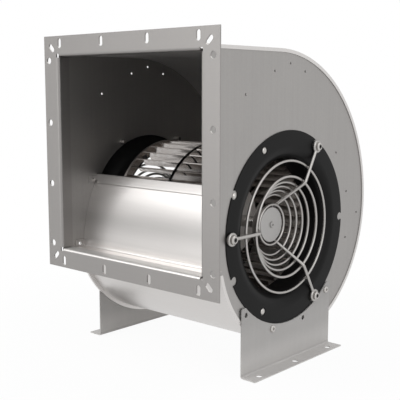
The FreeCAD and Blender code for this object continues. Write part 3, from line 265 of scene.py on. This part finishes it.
link = sheet_group.links.new
link(place.outputs["Object"], cloud.inputs["Vector"])
link(place.outputs["Object"], spangle.inputs["Vector"])
link(given.outputs["Spangle Size"], per_metre.inputs[1])
link(per_metre.outputs["Value"], spangle.inputs["Scale"])
link(place.outputs["Object"], lines_at.inputs[0])
link(lines_at.outputs["Vector"], lines.inputs["Vector"])
grains = add_node(sheet_group, "ShaderNodeSeparateColor", (-400, 120))
link(spangle.outputs["Color"], grains.inputs["Color"])
cloudy = join(sheet_group, "SUBTRACT", cloud.outputs["Fac"], 0.5, (-200, 400))
grainy = join(sheet_group, "SUBTRACT", grains.outputs["Red"], 0.5, (-200, 120))
grainy = join(sheet_group, "MULTIPLY", grainy, given.outputs["Spangle Share"], (-50, 120))
lined = join(sheet_group, "SUBTRACT", lines.outputs["Fac"], 0.5, (-200, -150))
mixed = join(sheet_group, "ADD", cloudy, grainy, (0, 300))
centred = join(sheet_group, "ADD", mixed, lined, (200, 200))
tone = join(sheet_group, "MULTIPLY", centred, given.outputs["Tone Change"], (400, 200))
shift = join(sheet_group, "MULTIPLY", centred, given.outputs["Rough Change"], (400, 0))
link(join(sheet_group, "ADD", tone, 1.0, (600, 200)), result.inputs["Tone"])
link(shift, result.inputs["Roughness Shift"])
link(lines.outputs["Fac"], result.inputs["Height"])
print("group", sheet_group.name, "is done with", len(sheet_group.nodes), "nodes")

# %% [markdown]
# Each finish below is one material on the Principled shader. The shader itself stays in the material,
# and the group only feeds it patterns, so one group serves bright zinc, dull zinc and bare steel.
# A metal's colour is its reflection, so we choose the pale or dark base first, then the roughness:
# a rough surface spreads the studio into an even grey, and a smooth one shows streaks.

# %% A maker of metal finishes
finishes = {}


def metal_finish(name, colour, roughness, tone=0.1, rough=0.06, spangle=2.0, share=0.3, dent=0.01,
                 metallic=1.0, shine=0.5, across_y=14.0, across_z=900.0):
    """Add a metal or paint with the sheet patterns in its tone, roughness and fine relief."""
    finish = bpy.data.materials.new(name)
    finish.use_nodes = True
    tree = finish.node_tree
    shader = tree.nodes["Principled BSDF"]
    shader.inputs["Metallic"].default_value = metallic
    shader.inputs["Specular IOR Level"].default_value = shine
    patterns = add_node(tree, "ShaderNodeGroup", (-900, 0))
    patterns.node_tree = sheet_group
    set_inputs(patterns, Spangle_Size=spangle, Tone_Change=tone, Spangle_Share=share, Rough_Change=rough,
               Lines_Across_Y=across_y, Lines_Across_Z=across_z)
    paint = add_node(tree, "ShaderNodeMix", (-500, 200), data_type="RGBA", blend_type="MULTIPLY")
    paint.inputs["Factor"].default_value = 1.0
    paint.inputs["A"].default_value = (*colour, 1)
    tree.links.new(patterns.outputs["Tone"], paint.inputs["B"])
    tree.links.new(paint.outputs["Result"], shader.inputs["Base Color"])
    tree.links.new(join(tree, "ADD", patterns.outputs["Roughness Shift"], roughness, (-500, 0)),
                   shader.inputs["Roughness"])
    relief = add_node(tree, "ShaderNodeBump", (-500, -250))
    set_inputs(relief, Strength=dent, Distance=0.001)
    tree.links.new(patterns.outputs["Height"], relief.inputs["Height"])
    tree.links.new(relief.outputs["Normal"], shader.inputs["Normal"])
    finishes[name] = finish


# %% [markdown]
# The housing is zinc in five tones. The flat side plates and the flange are dull, the rolled wrap and
# the cut-off plate are brighter, because rolling stretches and polishes the zinc, and the feet have a
# thick, almost matt coat. The inlet rings are painted black. Inside, the wheel is bare zinc too, and
# the motor brings cast aluminium, ground steel and copper.

# %% Finishes of the housing
metal_finish("galvanised_casing", (0.350, 0.338, 0.328), 0.42, tone=0.13, metallic=0.88,
             across_y=220.0, across_z=5.0)
metal_finish("galvanised_wrap", (0.64, 0.62, 0.605), 0.38, tone=0.08, metallic=0.82)
metal_finish("galvanised_bright", (0.60, 0.58, 0.565), 0.34, tone=0.07, rough=0.02, share=0.1, dent=0.0,
             metallic=0.9, across_z=300.0)
metal_finish("galvanised_flange", (0.305, 0.293, 0.284), 0.44, tone=0.06, metallic=0.9)
metal_finish("galvanised_feet", (0.35, 0.34, 0.33), 0.46, tone=0.08, metallic=0.1, shine=0.2,
             across_y=120.0, across_z=14.0)
metal_finish("black_paint", (0.0075, 0.0073, 0.0073), 0.42, metallic=0.0, shine=0.10)
print("finishes of the housing:", sorted(finishes))

# %% Finishes of the guard, the wheel and the motor
metal_finish("zinc_wire", (0.42, 0.405, 0.39), 0.34, tone=0.1)
metal_finish("zinc_plate", (0.42, 0.41, 0.40), 0.50, tone=0.05, metallic=0.6)
metal_finish("zinc_hardware", (0.52, 0.50, 0.48), 0.30, tone=0.1)
metal_finish("galvanised_wheel", (0.63, 0.595, 0.57), 0.25, tone=0.1, share=0.1)
metal_finish("black_disc", (0.56, 0.53, 0.51), 0.25, tone=0.1, share=0.1)
metal_finish("ground_steel", (0.50, 0.49, 0.48), 0.25, tone=0.05)
metal_finish("bearing_steel", (0.60, 0.60, 0.60), 0.15, tone=0.05)
metal_finish("spring_steel", (0.22, 0.22, 0.23), 0.40, tone=0.1)
metal_finish("core_laminations", (0.20, 0.21, 0.24), 0.45, tone=0.2)
metal_finish("copper_windings", (0.50, 0.18, 0.07), 0.35, tone=0.3)
metal_finish("cast_aluminium", (0.80, 0.75, 0.71), 0.30, tone=0.25, spangle=6.0, dent=0.0,
             metallic=0.7, across_z=60.0)
print("finishes in all:", len(finishes))

# %% [markdown]
# Five places need a second tone inside one finish: the rim of the wheel's disc is painted black, the
# blades are black too for a few millimetres beside the disc, a hexagon socket is darkened with painted
# shade, the flange's faces that turn upwards, its bottom collar and bend, carry a painted highlight,
# and the cut-off plate's end tabs get painted shade in the dull tone of the side plates that they lie
# on. None of them is a piece of its own, so we find each place by its position or direction and mix
# the second colour in there. The masks are measured on the piece itself, so the paint stays on the rim
# however the wheel turns.

# %% Helpers for second tones
def on_circle(radius, degrees):
    """The (y, z) place on a circle round the wheel's axis."""
    angle = math.radians(degrees)
    return radius * math.cos(angle), radius * math.sin(angle) + AXIS_HEIGHT


def paint_over(finish, mask, colour, metallic=None):
    """Mix a colour over a finish where the mask socket is 1."""
    tree = finish.node_tree
    shader = tree.nodes["Principled BSDF"]
    bare = shader.inputs["Base Color"].links[0].from_socket
    cover = add_node(tree, "ShaderNodeMix", (-250, 350), data_type="RGBA")
    cover.inputs["B"].default_value = (*colour, 1)
    tree.links.new(mask, cover.inputs["Factor"])
    tree.links.new(bare, cover.inputs["A"])
    tree.links.new(cover.outputs["Result"], shader.inputs["Base Color"])
    if metallic is not None:
        blend = add_node(tree, "ShaderNodeMix", (-250, 550), data_type="FLOAT")
        blend.inputs["A"].default_value = shader.inputs["Metallic"].default_value
        blend.inputs["B"].default_value = metallic
        tree.links.new(mask, blend.inputs["Factor"])
        tree.links.new(blend.outputs["Result"], shader.inputs["Metallic"])


def parts_of(finish, output):
    """The separated x, y and z of a texture coordinate in a finish."""
    tree = finish.node_tree
    where = add_node(tree, "ShaderNodeTexCoord", (-1500, 900))
    split = add_node(tree, "ShaderNodeSeparateXYZ", (-1300, 900))
    tree.links.new(where.outputs[output], split.inputs["Vector"])
    return [split.outputs[axis] for axis in "XYZ"]


def squared_distance(finish, place):
    """The square of the distance from a line along X through a (y, z) place."""
    tree = finish.node_tree
    across, up = parts_of(finish, "Object")[1:]
    across = join(tree, "SUBTRACT", across, place[0], (-1100, 900))
    up = join(tree, "SUBTRACT", up, place[1], (-1100, 700))
    across = join(tree, "MULTIPLY", across, across, (-900, 900))
    up = join(tree, "MULTIPLY", up, up, (-900, 700))
    return join(tree, "ADD", across, up, (-700, 800))


print("helpers:", on_circle.__name__, paint_over.__name__, parts_of.__name__, squared_distance.__name__)

# %% Black paint on the disc's rim, and black blades beside the disc
RIM_BLACK = (0.006, 0.006, 0.006)
PAINTED_FROM = 0.1128
BLADE_BLACK_REACH = 0.0038

finish = finishes["black_disc"]
outside = join(finish.node_tree, "GREATER_THAN", squared_distance(finish, (0, AXIS_HEIGHT)),
               PAINTED_FROM ** 2, (-500, 800))
paint_over(finish, outside, RIM_BLACK)

finish = finishes["galvanised_wheel"]
sideways = join(finish.node_tree, "ABSOLUTE", parts_of(finish, "Object")[0], 0.0, (-1100, 900))
# the blades are black for a few millimetres either side of the disc, which widens the dark line where
# they meet it
paint_over(finish, join(finish.node_tree, "LESS_THAN", sideways, BLADE_BLACK_REACH, (-900, 900)), RIM_BLACK)
print("painted from radius", round(PAINTED_FROM * 1000, 1), "mm")

# %% Painted shade in the sockets of the spoke screws
SPOKE_ANGLES = (60, 180, 300)
SPOKE_SCREW_PLACE = 0.1284
SOCKET_REACH = 0.0034

finish = finishes["zinc_hardware"]
tree = finish.node_tree
socket_shade = None
for angle in SPOKE_ANGLES:
    distance = squared_distance(finish, on_circle(SPOKE_SCREW_PLACE, angle))
    inside = join(tree, "LESS_THAN", distance, SOCKET_REACH ** 2, (-500, angle))
    socket_shade = inside if socket_shade is None else join(tree, "MAXIMUM", socket_shade, inside, (-300, angle))
# painted shade: the hexagon sockets are darkened inside
paint_over(finish, socket_shade, (0.13, 0.126, 0.122))
print("hardware finish has", len(tree.nodes), "nodes")

# %% Painted highlight on the flange's up-facing faces
HIGHLIGHT_FACES_UP = 0.3

finish = finishes["galvanised_flange"]
painted_highlight_up = join(finish.node_tree, "GREATER_THAN", parts_of(finish, "Normal")[2], HIGHLIGHT_FACES_UP, (-900, 900))
# painted highlight: every face of the flange that turns upwards, the bottom collar and its bend, is paler
# and less metallic
paint_over(finish, painted_highlight_up, (0.75, 0.73, 0.71), 0.7)
print("the collar's bend is found by its direction")

# %% [markdown]
# Here the ramps paint light and shade into the sheet's colour. The feet are painted paler towards the
# ground, where their lower part lies in shade, and a little less pale over the bend above the flange,
# which dims the bend's highlight. The cut-off plate gets painted reflections: a bright band low down,
# a dark band across its middle and a darker top. A ramp driven by the height above the ground gives
# both, and stays put from every side.

# %% Painted light and shade that follow the height
def painted_light_by_height(finish, low, high, stops):
    """Multiply a finish's colour by a factor that runs through (share of height, factor) stops."""
    tree = finish.node_tree
    shader = tree.nodes["Principled BSDF"]
    bare = shader.inputs["Base Color"].links[0].from_socket
    height = add_node(tree, "ShaderNodeMapRange", (-1300, 1300))
    set_inputs(height, From_Min=low, From_Max=high)
    tree.links.new(parts_of(finish, "Object")[2], height.inputs["Value"])
    ramp = add_node(tree, "ShaderNodeValToRGB", (-1100, 1300))
    ramp.color_ramp.interpolation = "EASE"
    for index, (share, factor) in enumerate(stops):
        if index < 2:
            stop = ramp.color_ramp.elements[index]
            stop.position = share
        else:
            stop = ramp.color_ramp.elements.new(share)
        stop.color = (factor / 2, factor / 2, factor / 2, 1)
    tree.links.new(height.outputs["Result"], ramp.inputs["Fac"])
    doubled = add_node(tree, "ShaderNodeVectorMath", (-800, 1300), operation="SCALE")
    doubled.inputs["Scale"].default_value = 2.0
    tree.links.new(ramp.outputs["Color"], doubled.inputs[0])
    toned = add_node(tree, "ShaderNodeMix", (-100, 500), data_type="RGBA", blend_type="MULTIPLY")
    toned.inputs["Factor"].default_value = 1.0
    tree.links.new(bare, toned.inputs["A"])
    tree.links.new(doubled.outputs["Vector"], toned.inputs["B"])
    tree.links.new(toned.outputs["Result"], shader.inputs["Base Color"])


# %% Painted light on the feet and painted reflections on the cut-off plate
FOOT_PAINTED_LIGHT_TOP = 0.09
FOOT_PAINTED_LIGHT = [(0.0, 1.65), (1.0, 1.0), (0.014, 1.65), (0.026, 1.32), (0.05, 1.34), (0.07, 1.44),
              (0.15, 1.42), (0.5, 1.15)]
CUTOFF_PAINTED_REFLECTION = [(0.0, 1.5), (1.0, 0.72), (0.035, 1.4), (0.15, 0.98), (0.42, 0.72), (0.62, 0.88),
                (0.86, 1.0), (0.91, 0.75)]

# painted light: the feet are paler towards the ground, where shade falls, and less pale over the bend,
# which dims its highlight
painted_light_by_height(finishes["galvanised_feet"], 0.0, FOOT_PAINTED_LIGHT_TOP, FOOT_PAINTED_LIGHT)
# painted reflection: a bright band low on the cut-off plate, a dark band across its middle and a darker
# top
low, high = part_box("cutoff_plate")
painted_light_by_height(finishes["galvanised_bright"], low[2], high[2], CUTOFF_PAINTED_REFLECTION)
print("height bands on the cut-off plate run over", round((high[2] - low[2]) * 1000, 1), "mm")

# %% Painted shade on the tabs, over the painted bands
SHADE_FACES_SIDEWAYS = 0.8

finish = finishes["galvanised_bright"]
sideways = join(finish.node_tree, "ABSOLUTE", parts_of(finish, "Normal")[0], 0.0, (-1100, 900))
tab_shade = join(finish.node_tree, "GREATER_THAN", sideways, SHADE_FACES_SIDEWAYS, (-900, 900))
# painted shade: the faces of the cut-off plate that turn sideways, its end tabs, take the side plates'
# darker tone
paint_over(finish, tab_shade, (0.33, 0.318, 0.31), 0.88)
print("tabs are found by their direction")

# %% [markdown]
# The solid model's record names a material slot for every piece, so one loop dresses them all. Two
# pieces then get a finish of their own: the rolled wrap, which is brighter than the flat casing, and
# the screw in the end of the axle, which is as matt as the plate that it sits in.

# %% Give every piece its finish
slot_of = {entry["node"]: entry["material_slot"] for entry in frame["record"]["subparts"]}
for name, piece in nodes.items():
    piece.data.materials.clear()
    piece.data.materials.append(finishes[slot_of[name]])
nodes["scroll_wrap"].data.materials[0] = finishes["galvanised_wrap"]
nodes["axle_screw"].data.materials[0] = finishes["zinc_plate"]
print("dressed", len(nodes), "pieces")

# %% [markdown]
# No sheet or wire end has a perfectly sharp edge: shears and presses leave a tiny rounding, and it is
# this rounding that catches a bright line of light. The solid model has sharp edges, so each piece of
# sheet gets a Bevel modifier of a few tenths of a millimetre. It cuts into the metal and adds no size.

# %% Round the sharp edges
EDGE_ROUNDING = 0.0003
SHEET_PIECES = ["outlet_flange", "foot_right", "foot_left", "side_plate_right", "side_plate_left",
                "scroll_wrap", "cutoff_plate"]


def soften_edges(piece, width, steps=2):
    """Round a piece's sharp edges by a small width in metres."""
    bevel = piece.modifiers.new("edge_rounding", "BEVEL")
    bevel.width = width
    bevel.segments = steps
    bevel.limit_method = "ANGLE"
    bevel.angle_limit = math.radians(50)
    bevel.use_clamp_overlap = True
    bevel.harden_normals = False


for name in SHEET_PIECES:
    soften_edges(nodes[name], EDGE_ROUNDING)
print("rounded the edges of", len(SHEET_PIECES), "pieces")

# %% [markdown]
# The guard is wire laid on the three support rods and resistance welded. At each crossing the two
# wires sink into each other a little, and a small flattened bead of metal is left round the spot.
# One bead is a sphere from bmesh, pressed flat along the way the wires are stacked and drawn out
# along the ring's wire. We build all the beads of one side as one mesh and place each by its angle.

# %% Where the wires cross
ROD = 0.005
RING_WIRE = 0.0038
SPOKE_PLANE = 0.1457
BASKET_RIM = 0.070
SLOPE = math.radians(44)
LIFT = (ROD + RING_WIRE) / 2
SMALL_RING = 0.0633
SMALL_RING_STEP = 0.0064


def crossing(radius, kind):
    """The touching point (x, radius) of a ring and a spoke, and the way from spoke to ring."""
    if kind == "flat":
        return (SPOKE_PLANE - ROD / 2, radius), (-1.0, 0.0)
    sign = 1.0 if kind == "front" else -1.0
    way = (sign * math.cos(SLOPE), -sign * math.sin(SLOPE))
    on_spoke = radius - LIFT * way[1]
    x = SPOKE_PLANE - (BASKET_RIM - on_spoke) * math.tan(SLOPE)
    return (x + way[0] * ROD / 2, on_spoke + way[1] * ROD / 2), way


RINGS = [(0.0943, "flat"), (0.072, "flat"), (0.0295, "front")]
RINGS += [(SMALL_RING - SMALL_RING_STEP * step, "behind") for step in range(4)]
crossings = [crossing(radius, kind) for radius, kind in RINGS]
print("welds on each spoke at radii", [round(spot[1] * 1000, 1) for spot, way in crossings])

# %% Helpers that turn a bmesh into a piece
def new_piece(name, shape):
    """Turn a bmesh into an object in the scene."""
    mesh = bpy.data.meshes.new(name)
    shape.to_mesh(mesh)
    shape.free()
    piece = bpy.data.objects.new(name, mesh)
    scene.collection.objects.link(piece)
    return piece


def shade_smooth(mesh, sharp_from=None):
    """Shade a mesh smooth, and keep its edges sharp from an angle in degrees."""
    for face in mesh.polygons:
        face.use_smooth = True
    if sharp_from is not None:
        mesh.set_sharp_from_angle(angle=math.radians(sharp_from))


print("helpers:", new_piece.__name__, shade_smooth.__name__)

# %% Weld beads
BEAD_SIZE = (0.0014, 0.0021, 0.0027, 1)


def weld_beads(name, side):
    """All the welds of one guard, as flattened beads; side is 1 for the right and -1 for the left."""
    shape = bmesh.new()
    for angle in SPOKE_ANGLES:
        turn = Matrix.Rotation(math.radians(angle), 4, "X")
        for (x, radius), way in crossings:
            bead = bmesh.ops.create_icosphere(shape, subdivisions=2, radius=1.0)["verts"]
            press = Matrix.Diagonal(BEAD_SIZE)
            tilt = Matrix.Rotation(math.atan2(way[1], way[0]), 4, "Z")
            spot = Matrix.Translation((x, radius, 0))
            bmesh.ops.transform(shape, matrix=turn @ spot @ tilt @ press, verts=bead)
    if side < 0:
        bmesh.ops.scale(shape, vec=(-1, 1, 1), verts=shape.verts)
        bmesh.ops.reverse_faces(shape, faces=shape.faces)
    bmesh.ops.translate(shape, vec=(0, 0, AXIS_HEIGHT), verts=shape.verts)
    beads = new_piece(name, shape)
    shade_smooth(beads.data)
    beads.data.materials.append(finishes["zinc_wire"])
    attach(beads, "housing")
    return beads


for side, name in ((1, "weld_beads_right"), (-1, "weld_beads_left")):
    made = weld_beads(name, side)
    print(name, "has", len(made.data.polygons), "faces")

# %% [markdown]
# The inlet ring is pressed from one flat blank. Its mouth has no edge: the flat flange rolls inwards
# in a wide curve and runs on as a short tube, so that the air turns in without tearing off.
# The solid model carries the flange and a plain drawn wall. For the picture we spin the real curve,
# a quarter of an ellipse, round the axis, give it the sheet's thickness, and then cut the notches and
# windows with a Boolean modifier, because that keeps the flange perfectly flat round each cut.

# %% The ring's curve
RING_FACE = 0.1432
RING_GAUGE = 0.0012
RING_OUTSIDE = 0.1375
FLAT_ENDS = 0.1175
THROAT = 0.0965
CURVE_DEPTH = 0.0165
TUBE_END = 0.0970
EDGE = 0.0003


def mouth_curve(thickness, steps=14):
    """The quarter ellipse from flange to throat as (x, radius), moved out by a thickness."""
    width = FLAT_ENDS - THROAT
    spots = []
    for step in range(steps + 1):
        angle = math.pi / 2 * step / steps
        lean = Vector((width * math.cos(angle), -CURVE_DEPTH * math.sin(angle))).normalized()
        spots.append((RING_FACE - CURVE_DEPTH * (1 - math.cos(angle)) - thickness * lean.x,
                      FLAT_ENDS - width * math.sin(angle) - thickness * lean.y))
    return spots


face_line = [(RING_FACE - EDGE, RING_OUTSIDE), (RING_FACE, RING_OUTSIDE - EDGE)] + mouth_curve(0.0)
back_line = mouth_curve(RING_GAUGE) + [(TUBE_END, THROAT + RING_GAUGE)]
ring_line = face_line + [(TUBE_END, THROAT)] + back_line[::-1] + [(RING_FACE - RING_GAUGE, RING_OUTSIDE)]
print("ring section:", len(ring_line), "points, mouth", round((FLAT_ENDS - THROAT) * 1000, 1), "mm wide")

# %% Where the ring is cut
NOTCH_PLACE = 0.1335
NOTCH = 0.0062
SCREW_NOTCH_PLACE = 0.1295
SCREW_NOTCH = 0.0090
WINDOW_PLACE = 0.1255
WINDOW_ANGLES = (117, -117)
WINDOW = 0.00525
PUNCH_DEPTH = 0.006

RING_CUTS = [(NOTCH_PLACE, angle, NOTCH) for angle in (0, 154.5, -154.5)]
RING_CUTS += [(SCREW_NOTCH_PLACE, angle, SCREW_NOTCH) for angle in (60, -60)]
RING_CUTS += [(SPOKE_SCREW_PLACE, 180, NOTCH)]
RING_CUTS += [(WINDOW_PLACE, angle, WINDOW) for angle in WINDOW_ANGLES]


def ring_cutters():
    """Round punches that stand through the flange at every notch and window."""
    shape = bmesh.new()
    for place, angle, radius in RING_CUTS:
        punch = bmesh.ops.create_cone(shape, cap_ends=True, segments=48, radius1=radius, radius2=radius,
                                      depth=PUNCH_DEPTH)["verts"]
        lay = Matrix.Rotation(math.radians(90), 4, "Y")
        spot = Matrix.Translation((RING_FACE, *on_circle(place, angle)))
        bmesh.ops.transform(shape, matrix=spot @ lay, verts=punch)
    return new_piece("ring_punches", shape)


print("each ring has", len(RING_CUTS), "cuts")

# %% Spin, punch and mirror the ring
def spin_round_axis(section, turns=180):
    """A closed section of (x, radius) points, spun into a ring round the wheel's axis."""
    shape = bmesh.new()
    rings = []
    for turn in range(turns):
        degrees = 360 * turn / turns
        rings.append([shape.verts.new((x, *on_circle(radius, degrees))) for x, radius in section])
    count = len(section)
    for turn, ring in enumerate(rings):
        after = rings[(turn + 1) % turns]
        for index in range(count):
            follow = (index + 1) % count
            shape.faces.new((ring[index], ring[follow], after[follow], after[index]))
    bmesh.ops.recalc_face_normals(shape, faces=shape.faces)
    return shape


def inlet_ring(name, side):
    """A pressed inlet ring; side is 1 for the right and -1 for the left."""
    blank = new_piece(name, spin_round_axis(ring_line))
    punches = ring_cutters()
    cut = blank.modifiers.new("punch", "BOOLEAN")
    cut.operation = "DIFFERENCE"
    cut.solver = "EXACT"
    cut.object = punches
    bpy.context.view_layer.update()
    pressed = bpy.data.meshes.new_from_object(blank.evaluated_get(bpy.context.evaluated_depsgraph_get()))
    blank.modifiers.clear()
    bpy.data.objects.remove(punches)
    if side < 0:
        pressed.transform(Matrix.Diagonal((-1, 1, 1, 1)))
        pressed.flip_normals()
    pressed.name = name
    blank.data = pressed
    shade_smooth(pressed, sharp_from=35)
    pressed.materials.clear()
    pressed.materials.append(finishes["black_paint"])
    return blank


for side, name, node in ((1, "pressed_ring_right", "inlet_ring_right"),
                         (-1, "pressed_ring_left", "inlet_ring_left")):
    ring = inlet_ring(name, side)
    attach(ring, "housing")
    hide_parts(node)
    print(name, "has", len(ring.data.polygons), "faces")

# %% [markdown]
# In each window of the ring a rivet head stands on the side plate, and its dome catches the light.
# Its shank goes through the plate, and the upset tail shows inside the housing.
# A rivet is turned from one short section: we spin the section's points round the rivet's own axis,
# close both ends, and place one in each window on both sides.

# %% Rivet heads in the windows
HEAD_RADIUS = 0.0045
HEAD_HEIGHT = 0.0016
TAIL = [(-0.0088, 0.0016), (-0.0082, 0.0031), (-0.0060, 0.0036), (-0.0035, 0.0034), (-0.0014, 0.0030),
        (0.0, 0.0030)]


def window_rivets(name, side, turns=32, steps=6):
    """Rivets through one side plate; side is 1 for the right and -1 for the left."""
    shape = bmesh.new()
    seat = RING_FACE - RING_GAUGE
    section = list(TAIL)
    for step in range(steps):
        lift = math.pi / 2 * step / steps
        section.append((HEAD_HEIGHT * math.sin(lift), HEAD_RADIUS * math.cos(lift)))
    for angle in WINDOW_ANGLES:
        y, z = on_circle(WINDOW_PLACE, angle)
        rows = []
        for depth, reach in section:
            rows.append([shape.verts.new((side * (seat + depth),
                                          y + reach * math.cos(2 * math.pi * turn / turns),
                                          z + reach * math.sin(2 * math.pi * turn / turns)))
                         for turn in range(turns)])
        crown = shape.verts.new((side * (seat + HEAD_HEIGHT), y, z))
        for turn in range(turns):
            after = (turn + 1) % turns
            for low, high in zip(rows, rows[1:]):
                shape.faces.new((low[turn], low[after], high[after], high[turn]))
            shape.faces.new((rows[-1][turn], rows[-1][after], crown))
        shape.faces.new(rows[0])
    bmesh.ops.recalc_face_normals(shape, faces=shape.faces)
    heads = new_piece(name, shape)
    shade_smooth(heads.data, sharp_from=50)
    heads.data.materials.append(finishes["zinc_hardware"])
    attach(heads, "housing")
    return heads


for side, name in ((1, "window_rivets_right"), (-1, "window_rivets_left")):
    print(name, "has", len(window_rivets(name, side).data.polygons), "faces")

# %% [markdown]
# Seen through the outlet, the edge of the wheel's disc is a broad black line, because the rim is
# folded outwards over the ends of the blades on both sides and painted. The fold is a narrow band
# just outside the blades, so we spin its small section with the ring's own helper. It rides on the
# impeller, and the disc's finish is black out there by itself.

# %% Folded rim of the disc
FOLD_HALF_WIDTH = 0.0027
FOLD_INSIDE = 0.1134
FOLD_OUTSIDE = 0.1140

fold_line = [(-FOLD_HALF_WIDTH, FOLD_INSIDE), (-FOLD_HALF_WIDTH, FOLD_OUTSIDE - EDGE),
             (EDGE - FOLD_HALF_WIDTH, FOLD_OUTSIDE), (FOLD_HALF_WIDTH - EDGE, FOLD_OUTSIDE),
             (FOLD_HALF_WIDTH, FOLD_OUTSIDE - EDGE), (FOLD_HALF_WIDTH, FOLD_INSIDE)]
fold = new_piece("disc_rim", spin_round_axis(fold_line))
shade_smooth(fold.data, sharp_from=35)
fold.data.materials.append(finishes["black_disc"])
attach(fold, "impeller")
print("disc rim is", round(FOLD_HALF_WIDTH * 2000, 1), "mm wide")

# %% [markdown]
# The Standard view keeps colours as they are written, so white paper stays white.

# %% Settings of the picture
scene.view_settings.view_transform = "Standard"
print("view transform:", scene.view_settings.view_transform)
